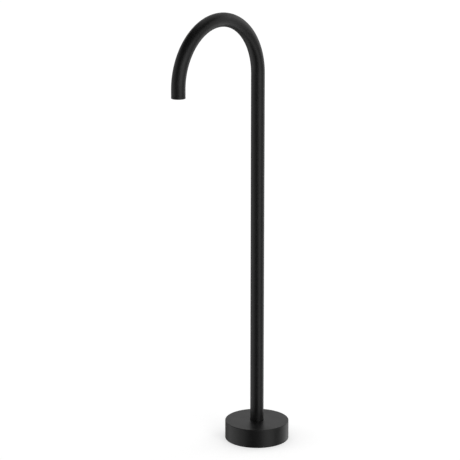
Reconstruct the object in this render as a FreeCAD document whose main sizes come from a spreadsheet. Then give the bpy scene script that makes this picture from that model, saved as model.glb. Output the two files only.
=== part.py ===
"""Floor standing bath filler: a bent riser tube on a bolted floor socket, with a drum shaped cover.

Millimetres. The origin is where the riser's axis meets the floor, +Z is up, and the spout reaches
towards -Y. Every size that can be set by itself is a cell of the Sizes sheet, and every place that
follows from those cells is one of the named expressions below.
"""

import FreeCAD, Part
import math
import os

import Sketcher

OUT_FOLDER = "parts"
START, END, CENTRE = 1, 2, 3  # the points of a sketch line, arc or circle
X_AXIS_LINE, Y_AXIS_LINE = -1, -2  # a sketch's own axes
ROOT = X_AXIS_LINE  # whose start is the sketch's origin
FULL_TURN = 360
HEXAGON_SIDES = 6
HEXAGON_STEP = FULL_TURN / HEXAGON_SIDES
HEXAGON_HALF_STEP = HEXAGON_STEP / 2

doc = FreeCAD.newDocument("bath_filler")

# ---------------------------------------------------------------------------------------------
# Driving dimensions
# ---------------------------------------------------------------------------------------------

SIZES = [
    # riser and spout, one bent tube
    ("overall_height", 1040),
    ("tube_diameter", 32),
    ("tube_wall", 1.5),
    ("bend_radius", 138.5),
    ("outlet_drop", 18.5),
    ("seam_bevel", 0.5),
    # clearances
    ("running_gap", 0.08),
    ("fit_gap", 0.05),
    # drum shaped cover over the floor fixing
    ("cover_diameter", 152),
    ("cover_height", 44.5),
    ("cover_wall", 1.8),
    ("cover_top", 2.2),
    ("cover_edge_round", 1.4),
    ("cover_rim_bevel", 0.5),
    ("cover_hole_gap", 0.4),
    ("cover_seal_section", 3),
    ("cover_ring_height", 3.4),
    ("cover_boss_wall", 4),
    ("cover_boss_round", 2),
    # floor plate, gasket and fixing holes
    ("gasket_thickness", 2),
    ("plate_thickness", 6),
    ("plate_margin", 8.2),
    ("plate_bevel", 1),
    ("fixing_hole", 8),
    ("fixing_count", 4),
    # socket that holds the riser
    ("flange_thickness", 5),
    ("screw_seat", 18),
    ("boss_wall", 8.37),
    ("boss_root_round", 2),
    ("boss_bevel", 0.8),
    ("inlet_bore", 18.64),
    ("inlet_length", 11),
    ("inlet_wall", 7.6),
    ("inlet_mouth_bevel", 0.8),
    ("undercut_depth", 1.2),
    ("undercut_height", 2.5),
    ("socket_web", 1.5),
    ("head_gap", 0.9),
    # water nipple, its seals and the sleeve that turns on them
    ("sleeve_wall", 3),
    ("sleeve_length", 30),
    ("sleeve_lead_in", 0.8),
    ("seal_section", 2.4),
    ("seal_play", 0.6),
    ("seal_pitch", 6),
    ("nipple_wall", 2.2),
    ("nipple_land", 1.6),
    ("nipple_lead_in", 0.8),
    # bearing bushes
    ("bush_wall", 1.5),
    ("bush_flange", 1.5),
    ("bush_flange_width", 3),
    ("bush_bevel", 0.4),
    ("thrust_thickness", 1.5),
    # screws that grip the riser, and their soft pads
    ("lock_window", 7),
    ("lock_screw", 6),
    ("lock_pad", 4.8),
    ("lock_pad_length", 3),
    ("lock_groove_depth", 0.6),
    ("lock_groove_play", 1),
    ("lock_key", 3),
    ("lock_key_depth", 3.5),
    ("lock_screw_bevel", 0.7),
    ("lock_count", 3),
    # screws that hold the socket to the plate
    ("cap_screw", 5),
    ("cap_screw_play", 0.25),
    ("cap_head", 8.5),
    ("cap_head_height", 5),
    ("cap_tip_gap", 1),
    ("cap_key", 4),
    ("cap_key_depth", 2.6),
    ("cap_head_bevel", 0.5),
    ("cap_tip_bevel", 0.8),
    ("cap_count", 4),
    # inlet washer, and the perforated discs
    ("washer_width", 2.4),
    ("strainer_thickness", 0.5),
    ("strainer_cell_pitch", 2.3),
    ("strainer_cell_wall", 0.9),
    # outlet collar and the aerator in it
    ("collar_height", 6),
    ("collar_depth", 9),
    ("collar_seat", 3.5),
    ("collar_wall", 2.9),
    ("collar_round", 0.8),
    ("collar_taper", 1.2),
    ("collar_taper_depth", 0.3),
    ("aerator_recess", 0.8),
    ("aerator_seal_width", 1.7),
    ("aerator_seal_height", 1.7),
    ("housing_wall", 1.6),
    ("housing_lip", 0.8),
    ("housing_lip_height", 1.2),
    ("key_notch", 2.6),
    ("key_notch_depth", 1),
    ("key_notch_inset", 0.6),
    ("key_notch_count", 4),
    ("housing_bevel", 0.3),
    ("grille_thickness", 3.5),
    ("cell_pitch", 1.9),
    ("cell_wall", 0.4),
    ("skirt_wall", 0.9),
]

sheet = doc.addObject("Spreadsheet::Sheet", "Sizes")
for row, (alias, size) in enumerate(SIZES, start=1):
    sheet.set(f"A{row}", alias)
    sheet.set(f"B{row}", str(size))
    sheet.setAlias(f"B{row}", alias)
doc.recompute()

# ---------------------------------------------------------------------------------------------
# Places that follow from the driving dimensions, as expressions
# ---------------------------------------------------------------------------------------------

ZERO = "0"

# heights above the floor
GASKET_TOP = "Sizes.gasket_thickness"
PLATE_TOP = f"({GASKET_TOP} + Sizes.plate_thickness)"
FLANGE_TOP = f"({PLATE_TOP} + Sizes.flange_thickness)"
INLET_TOP = "Sizes.inlet_length"
UNDERCUT_TOP = f"({INLET_TOP} + Sizes.undercut_height)"
CAVITY_FLOOR = f"({UNDERCUT_TOP} + Sizes.socket_web)"
COVER_UNDERSIDE = "(Sizes.cover_height - Sizes.cover_top)"
COVER_RING_TOP = f"({COVER_UNDERSIDE} - Sizes.cover_seal_section)"
COVER_RING_FOOT = f"({COVER_RING_TOP} - Sizes.cover_ring_height)"
BUSH_TOP = f"({COVER_RING_FOOT} - Sizes.head_gap)"
SOCKET_TOP = f"({BUSH_TOP} - Sizes.bush_flange)"
GRIP_HEIGHT = f"(({CAVITY_FLOOR} + {SOCKET_TOP}) / 2)"
LOWER_BUSH_TOP = f"({GRIP_HEIGHT} - Sizes.lock_window / 2)"
UPPER_BUSH_FOOT = f"({GRIP_HEIGHT} + Sizes.lock_window / 2)"
RISER_FOOT = f"({CAVITY_FLOOR} + Sizes.thrust_thickness)"
SEAL_GROOVE_WIDTH = "(Sizes.seal_section + Sizes.seal_play)"
LOWER_SEAL_HEIGHT = f"({GRIP_HEIGHT} - Sizes.seal_pitch / 2)"
UPPER_SEAL_HEIGHT = f"({GRIP_HEIGHT} + Sizes.seal_pitch / 2)"
NIPPLE_TOP = f"({UPPER_SEAL_HEIGHT} + {SEAL_GROOVE_WIDTH} / 2 + Sizes.nipple_land)"
BEND_START = "(Sizes.overall_height - Sizes.tube_diameter / 2 - Sizes.bend_radius)"
OUTLET_HEIGHT = f"({BEND_START} - Sizes.outlet_drop)"
SPOUT_Y = "(-2 * Sizes.bend_radius)"

# radii from the riser's axis
TUBE_R = "(Sizes.tube_diameter / 2)"
TUBE_BORE_R = f"({TUBE_R} - Sizes.tube_wall)"
SLEEVE_R = f"({TUBE_BORE_R} - Sizes.fit_gap)"
SLEEVE_BORE_R = f"({SLEEVE_R} - Sizes.sleeve_wall)"
NIPPLE_R = f"({SLEEVE_BORE_R} - Sizes.running_gap)"
SEAL_GROOVE_R = f"({SLEEVE_BORE_R} - Sizes.seal_section)"
NIPPLE_BORE_R = f"({SEAL_GROOVE_R} - Sizes.nipple_wall)"
BUSH_BORE_R = f"({TUBE_R} + Sizes.running_gap)"
BUSH_R = f"({BUSH_BORE_R} + Sizes.bush_wall)"
BUSH_FLANGE_R = f"({BUSH_R} + Sizes.bush_flange_width)"
CAVITY_R = f"({BUSH_R} + Sizes.fit_gap)"
BOSS_R = f"({CAVITY_R} + Sizes.boss_wall)"
CAP_SCREW_CIRCLE_R = f"({BOSS_R} + Sizes.screw_seat / 2)"
FLANGE_R = f"({BOSS_R} + Sizes.screw_seat)"
INLET_R = "(Sizes.inlet_bore / 2)"
UNDERCUT_R = f"({INLET_R} + Sizes.undercut_depth)"
INLET_BOSS_R = f"({INLET_R} + Sizes.inlet_wall)"
WASHER_R = f"({INLET_R} - Sizes.fit_gap)"
WASHER_BORE_R = f"({WASHER_R} - Sizes.washer_width)"
COVER_R = "(Sizes.cover_diameter / 2)"
COVER_BORE_R = f"({COVER_R} - Sizes.cover_wall)"
COVER_HOLE_R = f"({TUBE_R} + Sizes.cover_hole_gap)"
COVER_POCKET_R = f"({TUBE_R} + Sizes.cover_seal_section)"
COVER_BOSS_R = f"({COVER_POCKET_R} + Sizes.cover_boss_wall)"
PLATE_R = f"({COVER_BORE_R} - Sizes.plate_margin)"
PLATE_BORE_R = f"({INLET_BOSS_R} + Sizes.fit_gap)"
FIXING_CIRCLE_R = f"(({FLANGE_R} + {PLATE_R}) / 2)"
LOCK_GROOVE_R = f"({TUBE_R} - Sizes.lock_groove_depth)"
LOCK_PAD_START = f"({LOCK_GROOVE_R} + Sizes.running_gap)"
LOCK_SCREW_START = f"({LOCK_PAD_START} + Sizes.lock_pad_length)"

# heights above the spout's mouth, and radii from the mouth's axis
COLLAR_TOP = "(Sizes.collar_height + Sizes.collar_depth)"
SEAT_HEIGHT = f"({COLLAR_TOP} - Sizes.collar_seat)"
HOUSING_TOP = f"({SEAT_HEIGHT} - Sizes.aerator_seal_height)"
LEDGE_HEIGHT = "(Sizes.aerator_recess + Sizes.housing_lip_height)"
GRILLE_TOP = f"({LEDGE_HEIGHT} + Sizes.grille_thickness)"
COLLAR_BORE_R = f"({SLEEVE_R} - Sizes.collar_wall)"
AERATOR_R = f"({COLLAR_BORE_R} - Sizes.fit_gap)"
SEAT_BORE_R = f"({AERATOR_R} - Sizes.aerator_seal_width)"
HOUSING_BORE_R = f"({AERATOR_R} - Sizes.housing_wall)"
HOUSING_LIP_R = f"({HOUSING_BORE_R} - Sizes.housing_lip)"
CARTRIDGE_R = f"({HOUSING_BORE_R} - Sizes.fit_gap)"
SKIRT_BORE_R = f"({CARTRIDGE_R} - Sizes.skirt_wall)"


def value(expression):
    """The number that an expression stands for at the sheet's present sizes."""
    return float(sheet.evalExpression(expression))


# ---------------------------------------------------------------------------------------------
# Sketches and features
# ---------------------------------------------------------------------------------------------

bodies = []
CUT_VOLUME_LEAST = 0.01  # a cut that takes away less than this missed its piece
SAME_PLACE = 1e-4  # edges are found by their sizes to within this


def new_body(label):
    body = doc.addObject("PartDesign::Body", label)
    body.Label = label
    bodies.append(body)
    return body


def origin_item(body, role):
    return next(item for item in body.Origin.OriginFeatures if item.Role == role)


def new_sketch(body, name, plane, offset=None):
    """A sketch on one of the body's own planes, moved along that plane's normal by an expression."""
    sketch = body.newObject("Sketcher::SketchObject", f"{body.Label}_{name}")
    sketch.AttachmentSupport = [(origin_item(body, plane), "")]
    sketch.MapMode = "FlatFace"
    if offset is not None:
        sketch.setExpression("AttachmentOffset.Base.z", offset)
    return sketch


def dimension(sketch, kind, *points_and_expression):
    """A dimension whose size is an expression of the sheet's cells."""
    *points, expression = points_and_expression
    index = sketch.addConstraint(Sketcher.Constraint(kind, *points, value(expression)))
    sketch.setExpression(f"Constraints[{index}]", expression)


def place_point(sketch, geometry, point, across, up):
    """Dimensions a point from the sketch's origin, or holds it on an axis where the size is zero."""
    for kind, axis_line, size in (
        ("DistanceX", Y_AXIS_LINE, across),
        ("DistanceY", X_AXIS_LINE, up),
    ):
        if size == ZERO:
            sketch.addConstraint(Sketcher.Constraint("PointOnObject", geometry, point, axis_line))
        else:
            dimension(sketch, kind, ROOT, START, geometry, point, size)


def outline(sketch, corners):
    """A closed outline of straight sides. Each corner is a pair of expressions."""
    count = len(corners)
    spots = [FreeCAD.Vector(value(across), value(up), 0) for across, up in corners]
    for i in range(count):
        sketch.addGeometry(Part.LineSegment(spots[i], spots[(i + 1) % count]), False)
    for i in range(count):
        sketch.addConstraint(Sketcher.Constraint("Coincident", i, END, (i + 1) % count, START))
    for part, kind, level, axis_line in (
        (0, "DistanceX", "Vertical", Y_AXIS_LINE),
        (1, "DistanceY", "Horizontal", X_AXIS_LINE),
    ):
        for i in range(count):
            here = corners[i][part]
            if i > 0 and here == corners[i - 1][part]:
                sketch.addConstraint(Sketcher.Constraint(level, i - 1))
            elif i == count - 1 and here == corners[0][part]:
                sketch.addConstraint(Sketcher.Constraint(level, i))
            elif here == ZERO:
                sketch.addConstraint(Sketcher.Constraint("PointOnObject", i, START, axis_line))
            else:
                dimension(sketch, kind, ROOT, START, i, START, here)
    return sketch


def circle(sketch, across, up, radius):
    ring = Part.Circle(
        FreeCAD.Vector(value(across), value(up), 0), FreeCAD.Vector(0, 0, 1), value(radius)
    )
    index = sketch.addGeometry(ring, False)
    place_point(sketch, index, CENTRE, across, up)
    dimension(sketch, "Radius", index, radius)
    return sketch


def hexagon(sketch, across, up, across_flats):
    """A hexagon on its construction circle, with a corner on the circle's right."""
    corner_r = f"({across_flats} / 2 / cos({HEXAGON_HALF_STEP}))"
    centre = FreeCAD.Vector(value(across), value(up), 0)
    ring = sketch.addGeometry(Part.Circle(centre, FreeCAD.Vector(0, 0, 1), value(corner_r)), True)
    place_point(sketch, ring, CENTRE, across, up)
    dimension(sketch, "Radius", ring, corner_r)
    spots = []
    for i in range(HEXAGON_SIDES):
        angle = math.radians(HEXAGON_STEP * i)
        arm = FreeCAD.Vector(math.cos(angle), math.sin(angle), 0)
        spots.append(centre + arm * value(corner_r))
    sides = []
    for i in range(HEXAGON_SIDES):
        side = Part.LineSegment(spots[i], spots[(i + 1) % HEXAGON_SIDES])
        sides.append(sketch.addGeometry(side, False))
    for i in range(HEXAGON_SIDES):
        following = sides[(i + 1) % HEXAGON_SIDES]
        sketch.addConstraint(Sketcher.Constraint("Coincident", sides[i], END, following, START))
        sketch.addConstraint(Sketcher.Constraint("PointOnObject", sides[i], START, ring))
    for side in sides[1:]:
        sketch.addConstraint(Sketcher.Constraint("Equal", sides[0], side))
    sketch.addConstraint(Sketcher.Constraint("Horizontal", sides[1]))
    return sketch


def pad(body, name, sketch, length, reverse=False):
    feature = body.newObject("PartDesign::Pad", f"{body.Label}_{name}")
    feature.Profile = sketch
    feature.setExpression("Length", length)
    feature.Reversed = reverse
    doc.recompute()
    return feature


def pocket(body, name, sketch, depth, reverse=False):
    before = body.Shape.Volume
    feature = body.newObject("PartDesign::Pocket", f"{body.Label}_{name}")
    feature.Profile = sketch
    feature.setExpression("Length", depth)
    feature.Reversed = reverse
    doc.recompute()
    must_have_cut(feature, before)
    return feature


def revolve(body, name, sketch, axis="V_Axis"):
    """A full revolution about the sketch's vertical axis, or about one of its own sides."""
    feature = body.newObject("PartDesign::Revolution", f"{body.Label}_{name}")
    feature.Profile = sketch
    feature.ReferenceAxis = (sketch, [axis])
    feature.Angle = FULL_TURN
    doc.recompute()
    return feature


def turned_groove(body, name, sketch):
    """A full revolution about the sketch's vertical axis that takes material away."""
    before = body.Shape.Volume
    feature = body.newObject("PartDesign::Groove", f"{body.Label}_{name}")
    feature.Profile = sketch
    feature.ReferenceAxis = (sketch, ["V_Axis"])
    feature.Angle = FULL_TURN
    doc.recompute()
    must_have_cut(feature, before)
    return feature


def must_have_cut(feature, before):
    if feature.Shape.Volume > before - CUT_VOLUME_LEAST:
        raise RuntimeError(f"{feature.Label} took nothing away")


def around(body, name, originals, count):
    """Copies features round the body's own Z axis."""
    feature = body.newObject("PartDesign::PolarPattern", f"{body.Label}_{name}")
    feature.Originals = originals
    feature.Axis = (origin_item(body, "Z_Axis"), [""])
    feature.Angle = FULL_TURN
    feature.setExpression("Occurrences", count)
    body.Tip = feature
    doc.recompute()
    return feature


def circular_edges(shape, radius, height):
    """Names of the full round edges of this radius that lie flat at this height."""
    found = []
    for i, edge in enumerate(shape.Edges, start=1):
        if not isinstance(edge.Curve, Part.Circle):
            continue
        tilted = abs(edge.Curve.Axis.z) < 1 - SAME_PLACE
        if tilted or abs(edge.Curve.Radius - value(radius)) > SAME_PLACE:
            continue
        if abs(edge.Curve.Center.z - value(height)) < SAME_PLACE:
            found.append(f"Edge{i}")
    if not found:
        raise RuntimeError(f"no round edge of radius {value(radius)} at {value(height)}")
    return found


def edge_feature(body, kind, name, places, size):
    """A Fillet or Chamfer on the round edges at these pairs of radius and height."""
    base = body.Tip
    names = []
    for radius, height in places:
        names += circular_edges(base.Shape, radius, height)
    feature = body.newObject(f"PartDesign::{kind}", f"{body.Label}_{name}")
    feature.Base = (base, names)
    feature.setExpression("Radius" if kind == "Fillet" else "Size", size)
    doc.recompute()
    return feature


def fillet(body, name, places, size):
    return edge_feature(body, "Fillet", name, places, size)


def chamfer(body, name, places, size):
    return edge_feature(body, "Chamfer", name, places, size)


def turned_ring(label, bore_r, outer_r, foot, top):
    """A plain ring of rectangular section."""
    body = new_body(label)
    corners = [(bore_r, foot), (outer_r, foot), (outer_r, top), (bore_r, top)]
    revolve(body, "turning", outline(new_sketch(body, "section", "XZ_Plane"), corners))
    return body


def o_ring(label, inner_r, outer_r, height):
    """A ring of round section between two radii."""
    body = new_body(label)
    section = circle(
        new_sketch(body, "section", "XZ_Plane"),
        f"(({inner_r} + {outer_r}) / 2)",
        height,
        f"(({outer_r} - {inner_r}) / 2)",
    )
    revolve(body, "moulding", section)
    return body


def seat_at_mouth(body):
    """Moves a piece that is drawn about its own axis to the spout's mouth."""
    body.setExpression("Placement.Base.y", SPOUT_Y)
    body.setExpression("Placement.Base.z", OUTLET_HEIGHT)
    doc.recompute()
    return body


# ---------------------------------------------------------------------------------------------
# Floor plate and gasket
# ---------------------------------------------------------------------------------------------

FIXING_ACROSS = f"({FIXING_CIRCLE_R} * cos(45))"  # the first fixing hole lies at 45 degrees
FIXING_R = "(Sizes.fixing_hole / 2)"
TAPPED_R = "(Sizes.cap_screw / 2 + Sizes.fit_gap)"


def floor_disc(label, foot, thickness):
    """A disc with the inlet's bore and the floor fixing holes: the plate and its gasket match."""
    body = new_body(label)
    face = new_sketch(body, "face", "XY_Plane", foot)
    circle(face, ZERO, ZERO, PLATE_R)
    circle(face, ZERO, ZERO, PLATE_BORE_R)
    pad(body, "disc", face, thickness)
    hole = circle(
        new_sketch(body, "fixing_hole", "XY_Plane", foot), FIXING_ACROSS, FIXING_ACROSS, FIXING_R
    )
    first = pocket(body, "fixing", hole, thickness, reverse=True)
    around(body, "fixings", [first], "Sizes.fixing_count")
    return body


def make_base_gasket():
    """Rubber gasket between the plate and the finished floor."""
    floor_disc("base_gasket", ZERO, GASKET_TOP)


def make_base_plate():
    """Steel plate that is screwed to the floor, with tapped holes for the socket's screws."""
    body = floor_disc("base_plate", GASKET_TOP, "Sizes.plate_thickness")
    hole = circle(
        new_sketch(body, "tapped_hole", "XY_Plane", GASKET_TOP), CAP_SCREW_CIRCLE_R, ZERO, TAPPED_R
    )
    first = pocket(body, "tapped", hole, "Sizes.plate_thickness", reverse=True)
    around(body, "tapped_ring", [first], "Sizes.cap_count")
    chamfer(body, "rim_bevel", [(PLATE_R, PLATE_TOP)], "Sizes.plate_bevel")


# ---------------------------------------------------------------------------------------------
# Socket: inlet, flange, boss and the water nipple that stands inside it
# ---------------------------------------------------------------------------------------------


def make_socket_body():
    body = new_body("socket_body")
    corners = [
        (INLET_R, ZERO),
        (INLET_BOSS_R, ZERO),
        (INLET_BOSS_R, PLATE_TOP),
        (FLANGE_R, PLATE_TOP),
        (FLANGE_R, FLANGE_TOP),
        (BOSS_R, FLANGE_TOP),
        (BOSS_R, SOCKET_TOP),
        (CAVITY_R, SOCKET_TOP),
        (CAVITY_R, CAVITY_FLOOR),
        (NIPPLE_R, CAVITY_FLOOR),
        (NIPPLE_R, NIPPLE_TOP),
        (NIPPLE_BORE_R, NIPPLE_TOP),
        (NIPPLE_BORE_R, UNDERCUT_TOP),
        (UNDERCUT_R, UNDERCUT_TOP),
        (UNDERCUT_R, INLET_TOP),
        (INLET_R, INLET_TOP),
    ]
    revolve(body, "turning", outline(new_sketch(body, "section", "XZ_Plane"), corners))

    # two grooves for the nipple's seals
    groove_foot = f"({LOWER_SEAL_HEIGHT} - {SEAL_GROOVE_WIDTH} / 2)"
    groove_top = f"({LOWER_SEAL_HEIGHT} + {SEAL_GROOVE_WIDTH} / 2)"
    past_nipple = f"({NIPPLE_R} + Sizes.running_gap)"
    groove_corners = [
        (SEAL_GROOVE_R, groove_foot),
        (past_nipple, groove_foot),
        (past_nipple, groove_top),
        (SEAL_GROOVE_R, groove_top),
    ]
    groove_sketch = outline(new_sketch(body, "seal_groove", "XZ_Plane"), groove_corners)
    groove = turned_groove(body, "lower_groove", groove_sketch)
    pair = body.newObject("PartDesign::LinearPattern", "socket_body_grooves")
    pair.Originals = [groove]
    pair.Direction = (origin_item(body, "Z_Axis"), [""])
    pair.setExpression("Length", "Sizes.seal_pitch")
    pair.Occurrences = 2
    body.Tip = pair
    doc.recompute()

    # clearance holes for the screws that hold the flange down
    clearance_r = "(Sizes.cap_screw / 2 + Sizes.cap_screw_play)"
    hole = circle(
        new_sketch(body, "screw_hole", "XY_Plane", PLATE_TOP), CAP_SCREW_CIRCLE_R, ZERO, clearance_r
    )
    first = pocket(body, "flange_hole", hole, "Sizes.flange_thickness", reverse=True)
    around(body, "flange_holes", [first], "Sizes.cap_count")

    # radial threads for the screws that grip the riser
    inside_cavity = f"(-{BUSH_BORE_R})"
    past_boss = f"({BOSS_R} - {BUSH_BORE_R} + Sizes.boss_wall)"
    thread_r = "(Sizes.lock_screw / 2 + Sizes.fit_gap)"
    thread = circle(
        new_sketch(body, "grip_thread", "XZ_Plane", inside_cavity), ZERO, GRIP_HEIGHT, thread_r
    )
    first = pocket(body, "grip_hole", thread, past_boss)
    around(body, "grip_holes", [first], "Sizes.lock_count")

    chamfer(body, "boss_edge", [(BOSS_R, SOCKET_TOP), (FLANGE_R, FLANGE_TOP)], "Sizes.boss_bevel")
    chamfer(body, "inlet_mouth", [(INLET_R, ZERO)], "Sizes.inlet_mouth_bevel")
    chamfer(body, "nipple_tip", [(NIPPLE_R, NIPPLE_TOP)], "Sizes.nipple_lead_in")
    fillet(body, "boss_root", [(BOSS_R, FLANGE_TOP)], "Sizes.boss_root_round")


def make_socket_screws():
    """Cap screws that hold the socket's flange down on the plate."""
    body = new_body("socket_screws")
    shank_r = f"({CAP_SCREW_CIRCLE_R} + Sizes.cap_screw / 2)"
    head_r = f"({CAP_SCREW_CIRCLE_R} + Sizes.cap_head / 2)"
    tip = f"({GASKET_TOP} + Sizes.cap_tip_gap)"
    head_top = f"({FLANGE_TOP} + Sizes.cap_head_height)"
    corners = [
        (CAP_SCREW_CIRCLE_R, head_top),
        (CAP_SCREW_CIRCLE_R, tip),
        (f"({shank_r} - Sizes.cap_tip_bevel)", tip),
        (shank_r, f"({tip} + Sizes.cap_tip_bevel)"),
        (shank_r, FLANGE_TOP),
        (head_r, FLANGE_TOP),
        (head_r, f"({head_top} - Sizes.cap_head_bevel)"),
        (f"({head_r} - Sizes.cap_head_bevel)", head_top),
    ]
    section = outline(new_sketch(body, "section", "XZ_Plane"), corners)
    screw = revolve(body, "turning", section, "Edge1")
    recess = hexagon(
        new_sketch(body, "key_recess", "XY_Plane", head_top), CAP_SCREW_CIRCLE_R, ZERO, "Sizes.cap_key"
    )
    key = pocket(body, "key", recess, "Sizes.cap_key_depth")
    around(body, "ring", [screw, key], "Sizes.cap_count")


def make_lock_screws():
    """Grub screws that press the soft pads against the riser and hold the spout where it is set."""
    body = new_body("lock_screws")
    bevel = "Sizes.lock_screw_bevel"
    crest = f"({GRIP_HEIGHT} + Sizes.lock_screw / 2)"
    crest_of_bevel = f"({crest} - {bevel})"
    corners = [
        (BOSS_R, GRIP_HEIGHT),
        (LOCK_SCREW_START, GRIP_HEIGHT),
        (LOCK_SCREW_START, crest_of_bevel),
        (f"({LOCK_SCREW_START} + {bevel})", crest),
        (f"({BOSS_R} - {bevel})", crest),
        (BOSS_R, crest_of_bevel),
    ]
    pin = revolve(body, "turning", outline(new_sketch(body, "section", "YZ_Plane"), corners), "Edge1")
    recess = hexagon(
        new_sketch(body, "key_recess", "XZ_Plane", f"(-{BOSS_R})"), ZERO, GRIP_HEIGHT, "Sizes.lock_key"
    )
    key = pocket(body, "key", recess, "Sizes.lock_key_depth", reverse=True)
    around(body, "ring", [pin, key], "Sizes.lock_count")


def make_lock_pads():
    """Soft pads that ride in the riser's groove."""
    body = new_body("lock_pads")
    face = new_sketch(body, "face", "XZ_Plane", f"(-{LOCK_PAD_START})")
    circle(face, ZERO, GRIP_HEIGHT, "(Sizes.lock_pad / 2)")
    pin = pad(body, "pin", face, "Sizes.lock_pad_length", reverse=True)
    around(body, "ring", [pin], "Sizes.lock_count")


# ---------------------------------------------------------------------------------------------
# Bushes and seals in the socket
# ---------------------------------------------------------------------------------------------


def make_bushes():
    """The riser stands on the lower bush's floor and turns in the bores of both."""
    lower = new_body("lower_bush")
    thrust_bore_r = f"({NIPPLE_R} + Sizes.fit_gap)"
    corners = [
        (thrust_bore_r, CAVITY_FLOOR),
        (BUSH_R, CAVITY_FLOOR),
        (BUSH_R, LOWER_BUSH_TOP),
        (BUSH_BORE_R, LOWER_BUSH_TOP),
        (BUSH_BORE_R, RISER_FOOT),
        (thrust_bore_r, RISER_FOOT),
    ]
    revolve(lower, "moulding", outline(new_sketch(lower, "section", "XZ_Plane"), corners))

    upper = new_body("upper_bush")
    corners = [
        (BUSH_BORE_R, UPPER_BUSH_FOOT),
        (BUSH_R, UPPER_BUSH_FOOT),
        (BUSH_R, SOCKET_TOP),
        (BUSH_FLANGE_R, SOCKET_TOP),
        (BUSH_FLANGE_R, BUSH_TOP),
        (BUSH_BORE_R, BUSH_TOP),
    ]
    revolve(upper, "moulding", outline(new_sketch(upper, "section", "XZ_Plane"), corners))
    chamfer(upper, "rim", [(BUSH_FLANGE_R, BUSH_TOP), (BUSH_R, UPPER_BUSH_FOOT)], "Sizes.bush_bevel")


def make_nipple_seals():
    """Two seals in the nipple's grooves, on which the riser's sleeve slides."""
    squeezed_r = f"({SLEEVE_BORE_R} - Sizes.running_gap)"
    for label, height in (
        ("lower_nipple_seal", LOWER_SEAL_HEIGHT),
        ("upper_nipple_seal", UPPER_SEAL_HEIGHT),
    ):
        o_ring(label, SEAL_GROOVE_R, squeezed_r, height)


def make_inlet_washer():
    """Flat washer that the supply pipe's end bears on."""
    washer_top = f"({UNDERCUT_TOP} - Sizes.strainer_thickness)"
    turned_ring("inlet_washer", WASHER_BORE_R, WASHER_R, INLET_TOP, washer_top)


# ---------------------------------------------------------------------------------------------
# Perforated discs: inlet strainer, aerator grille and aerator strainer
# ---------------------------------------------------------------------------------------------


def cell_centres(pitch, reach):
    """Centres of hexagonal cells whose middles lie within a reach of the disc's centre."""
    row_pitch = pitch * math.cos(math.radians(HEXAGON_HALF_STEP))
    rows = math.ceil(2 * reach / pitch)
    found = []
    for a in range(-rows, rows + 1):
        for b in range(-rows, rows + 1):
            x = pitch * (a + b / 2)
            y = row_pitch * b
            if math.hypot(x, y) <= reach:
                found.append((x, y))
    return found


def perforated_disc(radius, open_radius, foot, thickness, pitch, wall):
    """A disc with every hexagonal hole that fits whole inside the open radius."""
    corner_r = (pitch - wall) / 2 / math.cos(math.radians(HEXAGON_HALF_STEP))
    disc = Part.makeCylinder(radius, thickness, FreeCAD.Vector(0, 0, foot))
    holes = []
    for x, y in cell_centres(pitch, open_radius - corner_r):
        corners = []
        for i in range(HEXAGON_SIDES):
            angle = math.radians(HEXAGON_STEP * i + HEXAGON_HALF_STEP)
            arm = FreeCAD.Vector(math.cos(angle), math.sin(angle), 0)
            corners.append(FreeCAD.Vector(x, y, foot) + arm * corner_r)
        face = Part.Face(Part.makePolygon(corners + corners[:1]))
        holes.append(face.extrude(FreeCAD.Vector(0, 0, thickness)))
    return disc.cut(Part.makeCompound(holes))


def disc_feature(label, shape, place=None):
    feature = doc.addObject("Part::Feature", label)
    feature.Label = label
    feature.Shape = shape
    if place is not None:
        feature.Placement = FreeCAD.Placement(place, FreeCAD.Rotation())
    bodies.append(feature)
    return feature


def mouth_centre():
    return FreeCAD.Vector(0, value(SPOUT_Y), value(OUTLET_HEIGHT))


def make_inlet_strainer():
    """Perforated steel disc that lies on the inlet washer."""
    thickness = value("Sizes.strainer_thickness")
    shape = perforated_disc(
        value(WASHER_R),
        value(WASHER_BORE_R),
        value(UNDERCUT_TOP) - thickness,
        thickness,
        value("Sizes.strainer_cell_pitch"),
        value("Sizes.strainer_cell_wall"),
    )
    disc_feature("inlet_strainer", shape)


def make_aerator_grille():
    """Honeycomb that straightens the stream, on the housing's ledge."""
    shape = perforated_disc(
        value(CARTRIDGE_R),
        value(HOUSING_LIP_R),
        value(LEDGE_HEIGHT),
        value("Sizes.grille_thickness"),
        value("Sizes.cell_pitch"),
        value("Sizes.cell_wall"),
    )
    disc_feature("aerator_grille", shape, mouth_centre())


def make_aerator_strainer():
    """Perforated cap on a skirt that keeps it clear of the grille."""
    top = value(HOUSING_TOP)
    foot = value(GRILLE_TOP)
    cap = value("Sizes.strainer_thickness")
    shape = perforated_disc(
        value(CARTRIDGE_R),
        value(SKIRT_BORE_R),
        top - cap,
        cap,
        value("Sizes.strainer_cell_pitch"),
        value("Sizes.strainer_cell_wall"),
    )
    height = top - cap - foot
    base = FreeCAD.Vector(0, 0, foot)
    skirt = Part.makeCylinder(value(CARTRIDGE_R), height, base)
    skirt = skirt.cut(Part.makeCylinder(value(SKIRT_BORE_R), height, base))
    disc_feature("aerator_strainer", shape.fuse(skirt).removeSplitter(), mouth_centre())


# ---------------------------------------------------------------------------------------------
# Riser and spout
# ---------------------------------------------------------------------------------------------


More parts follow.
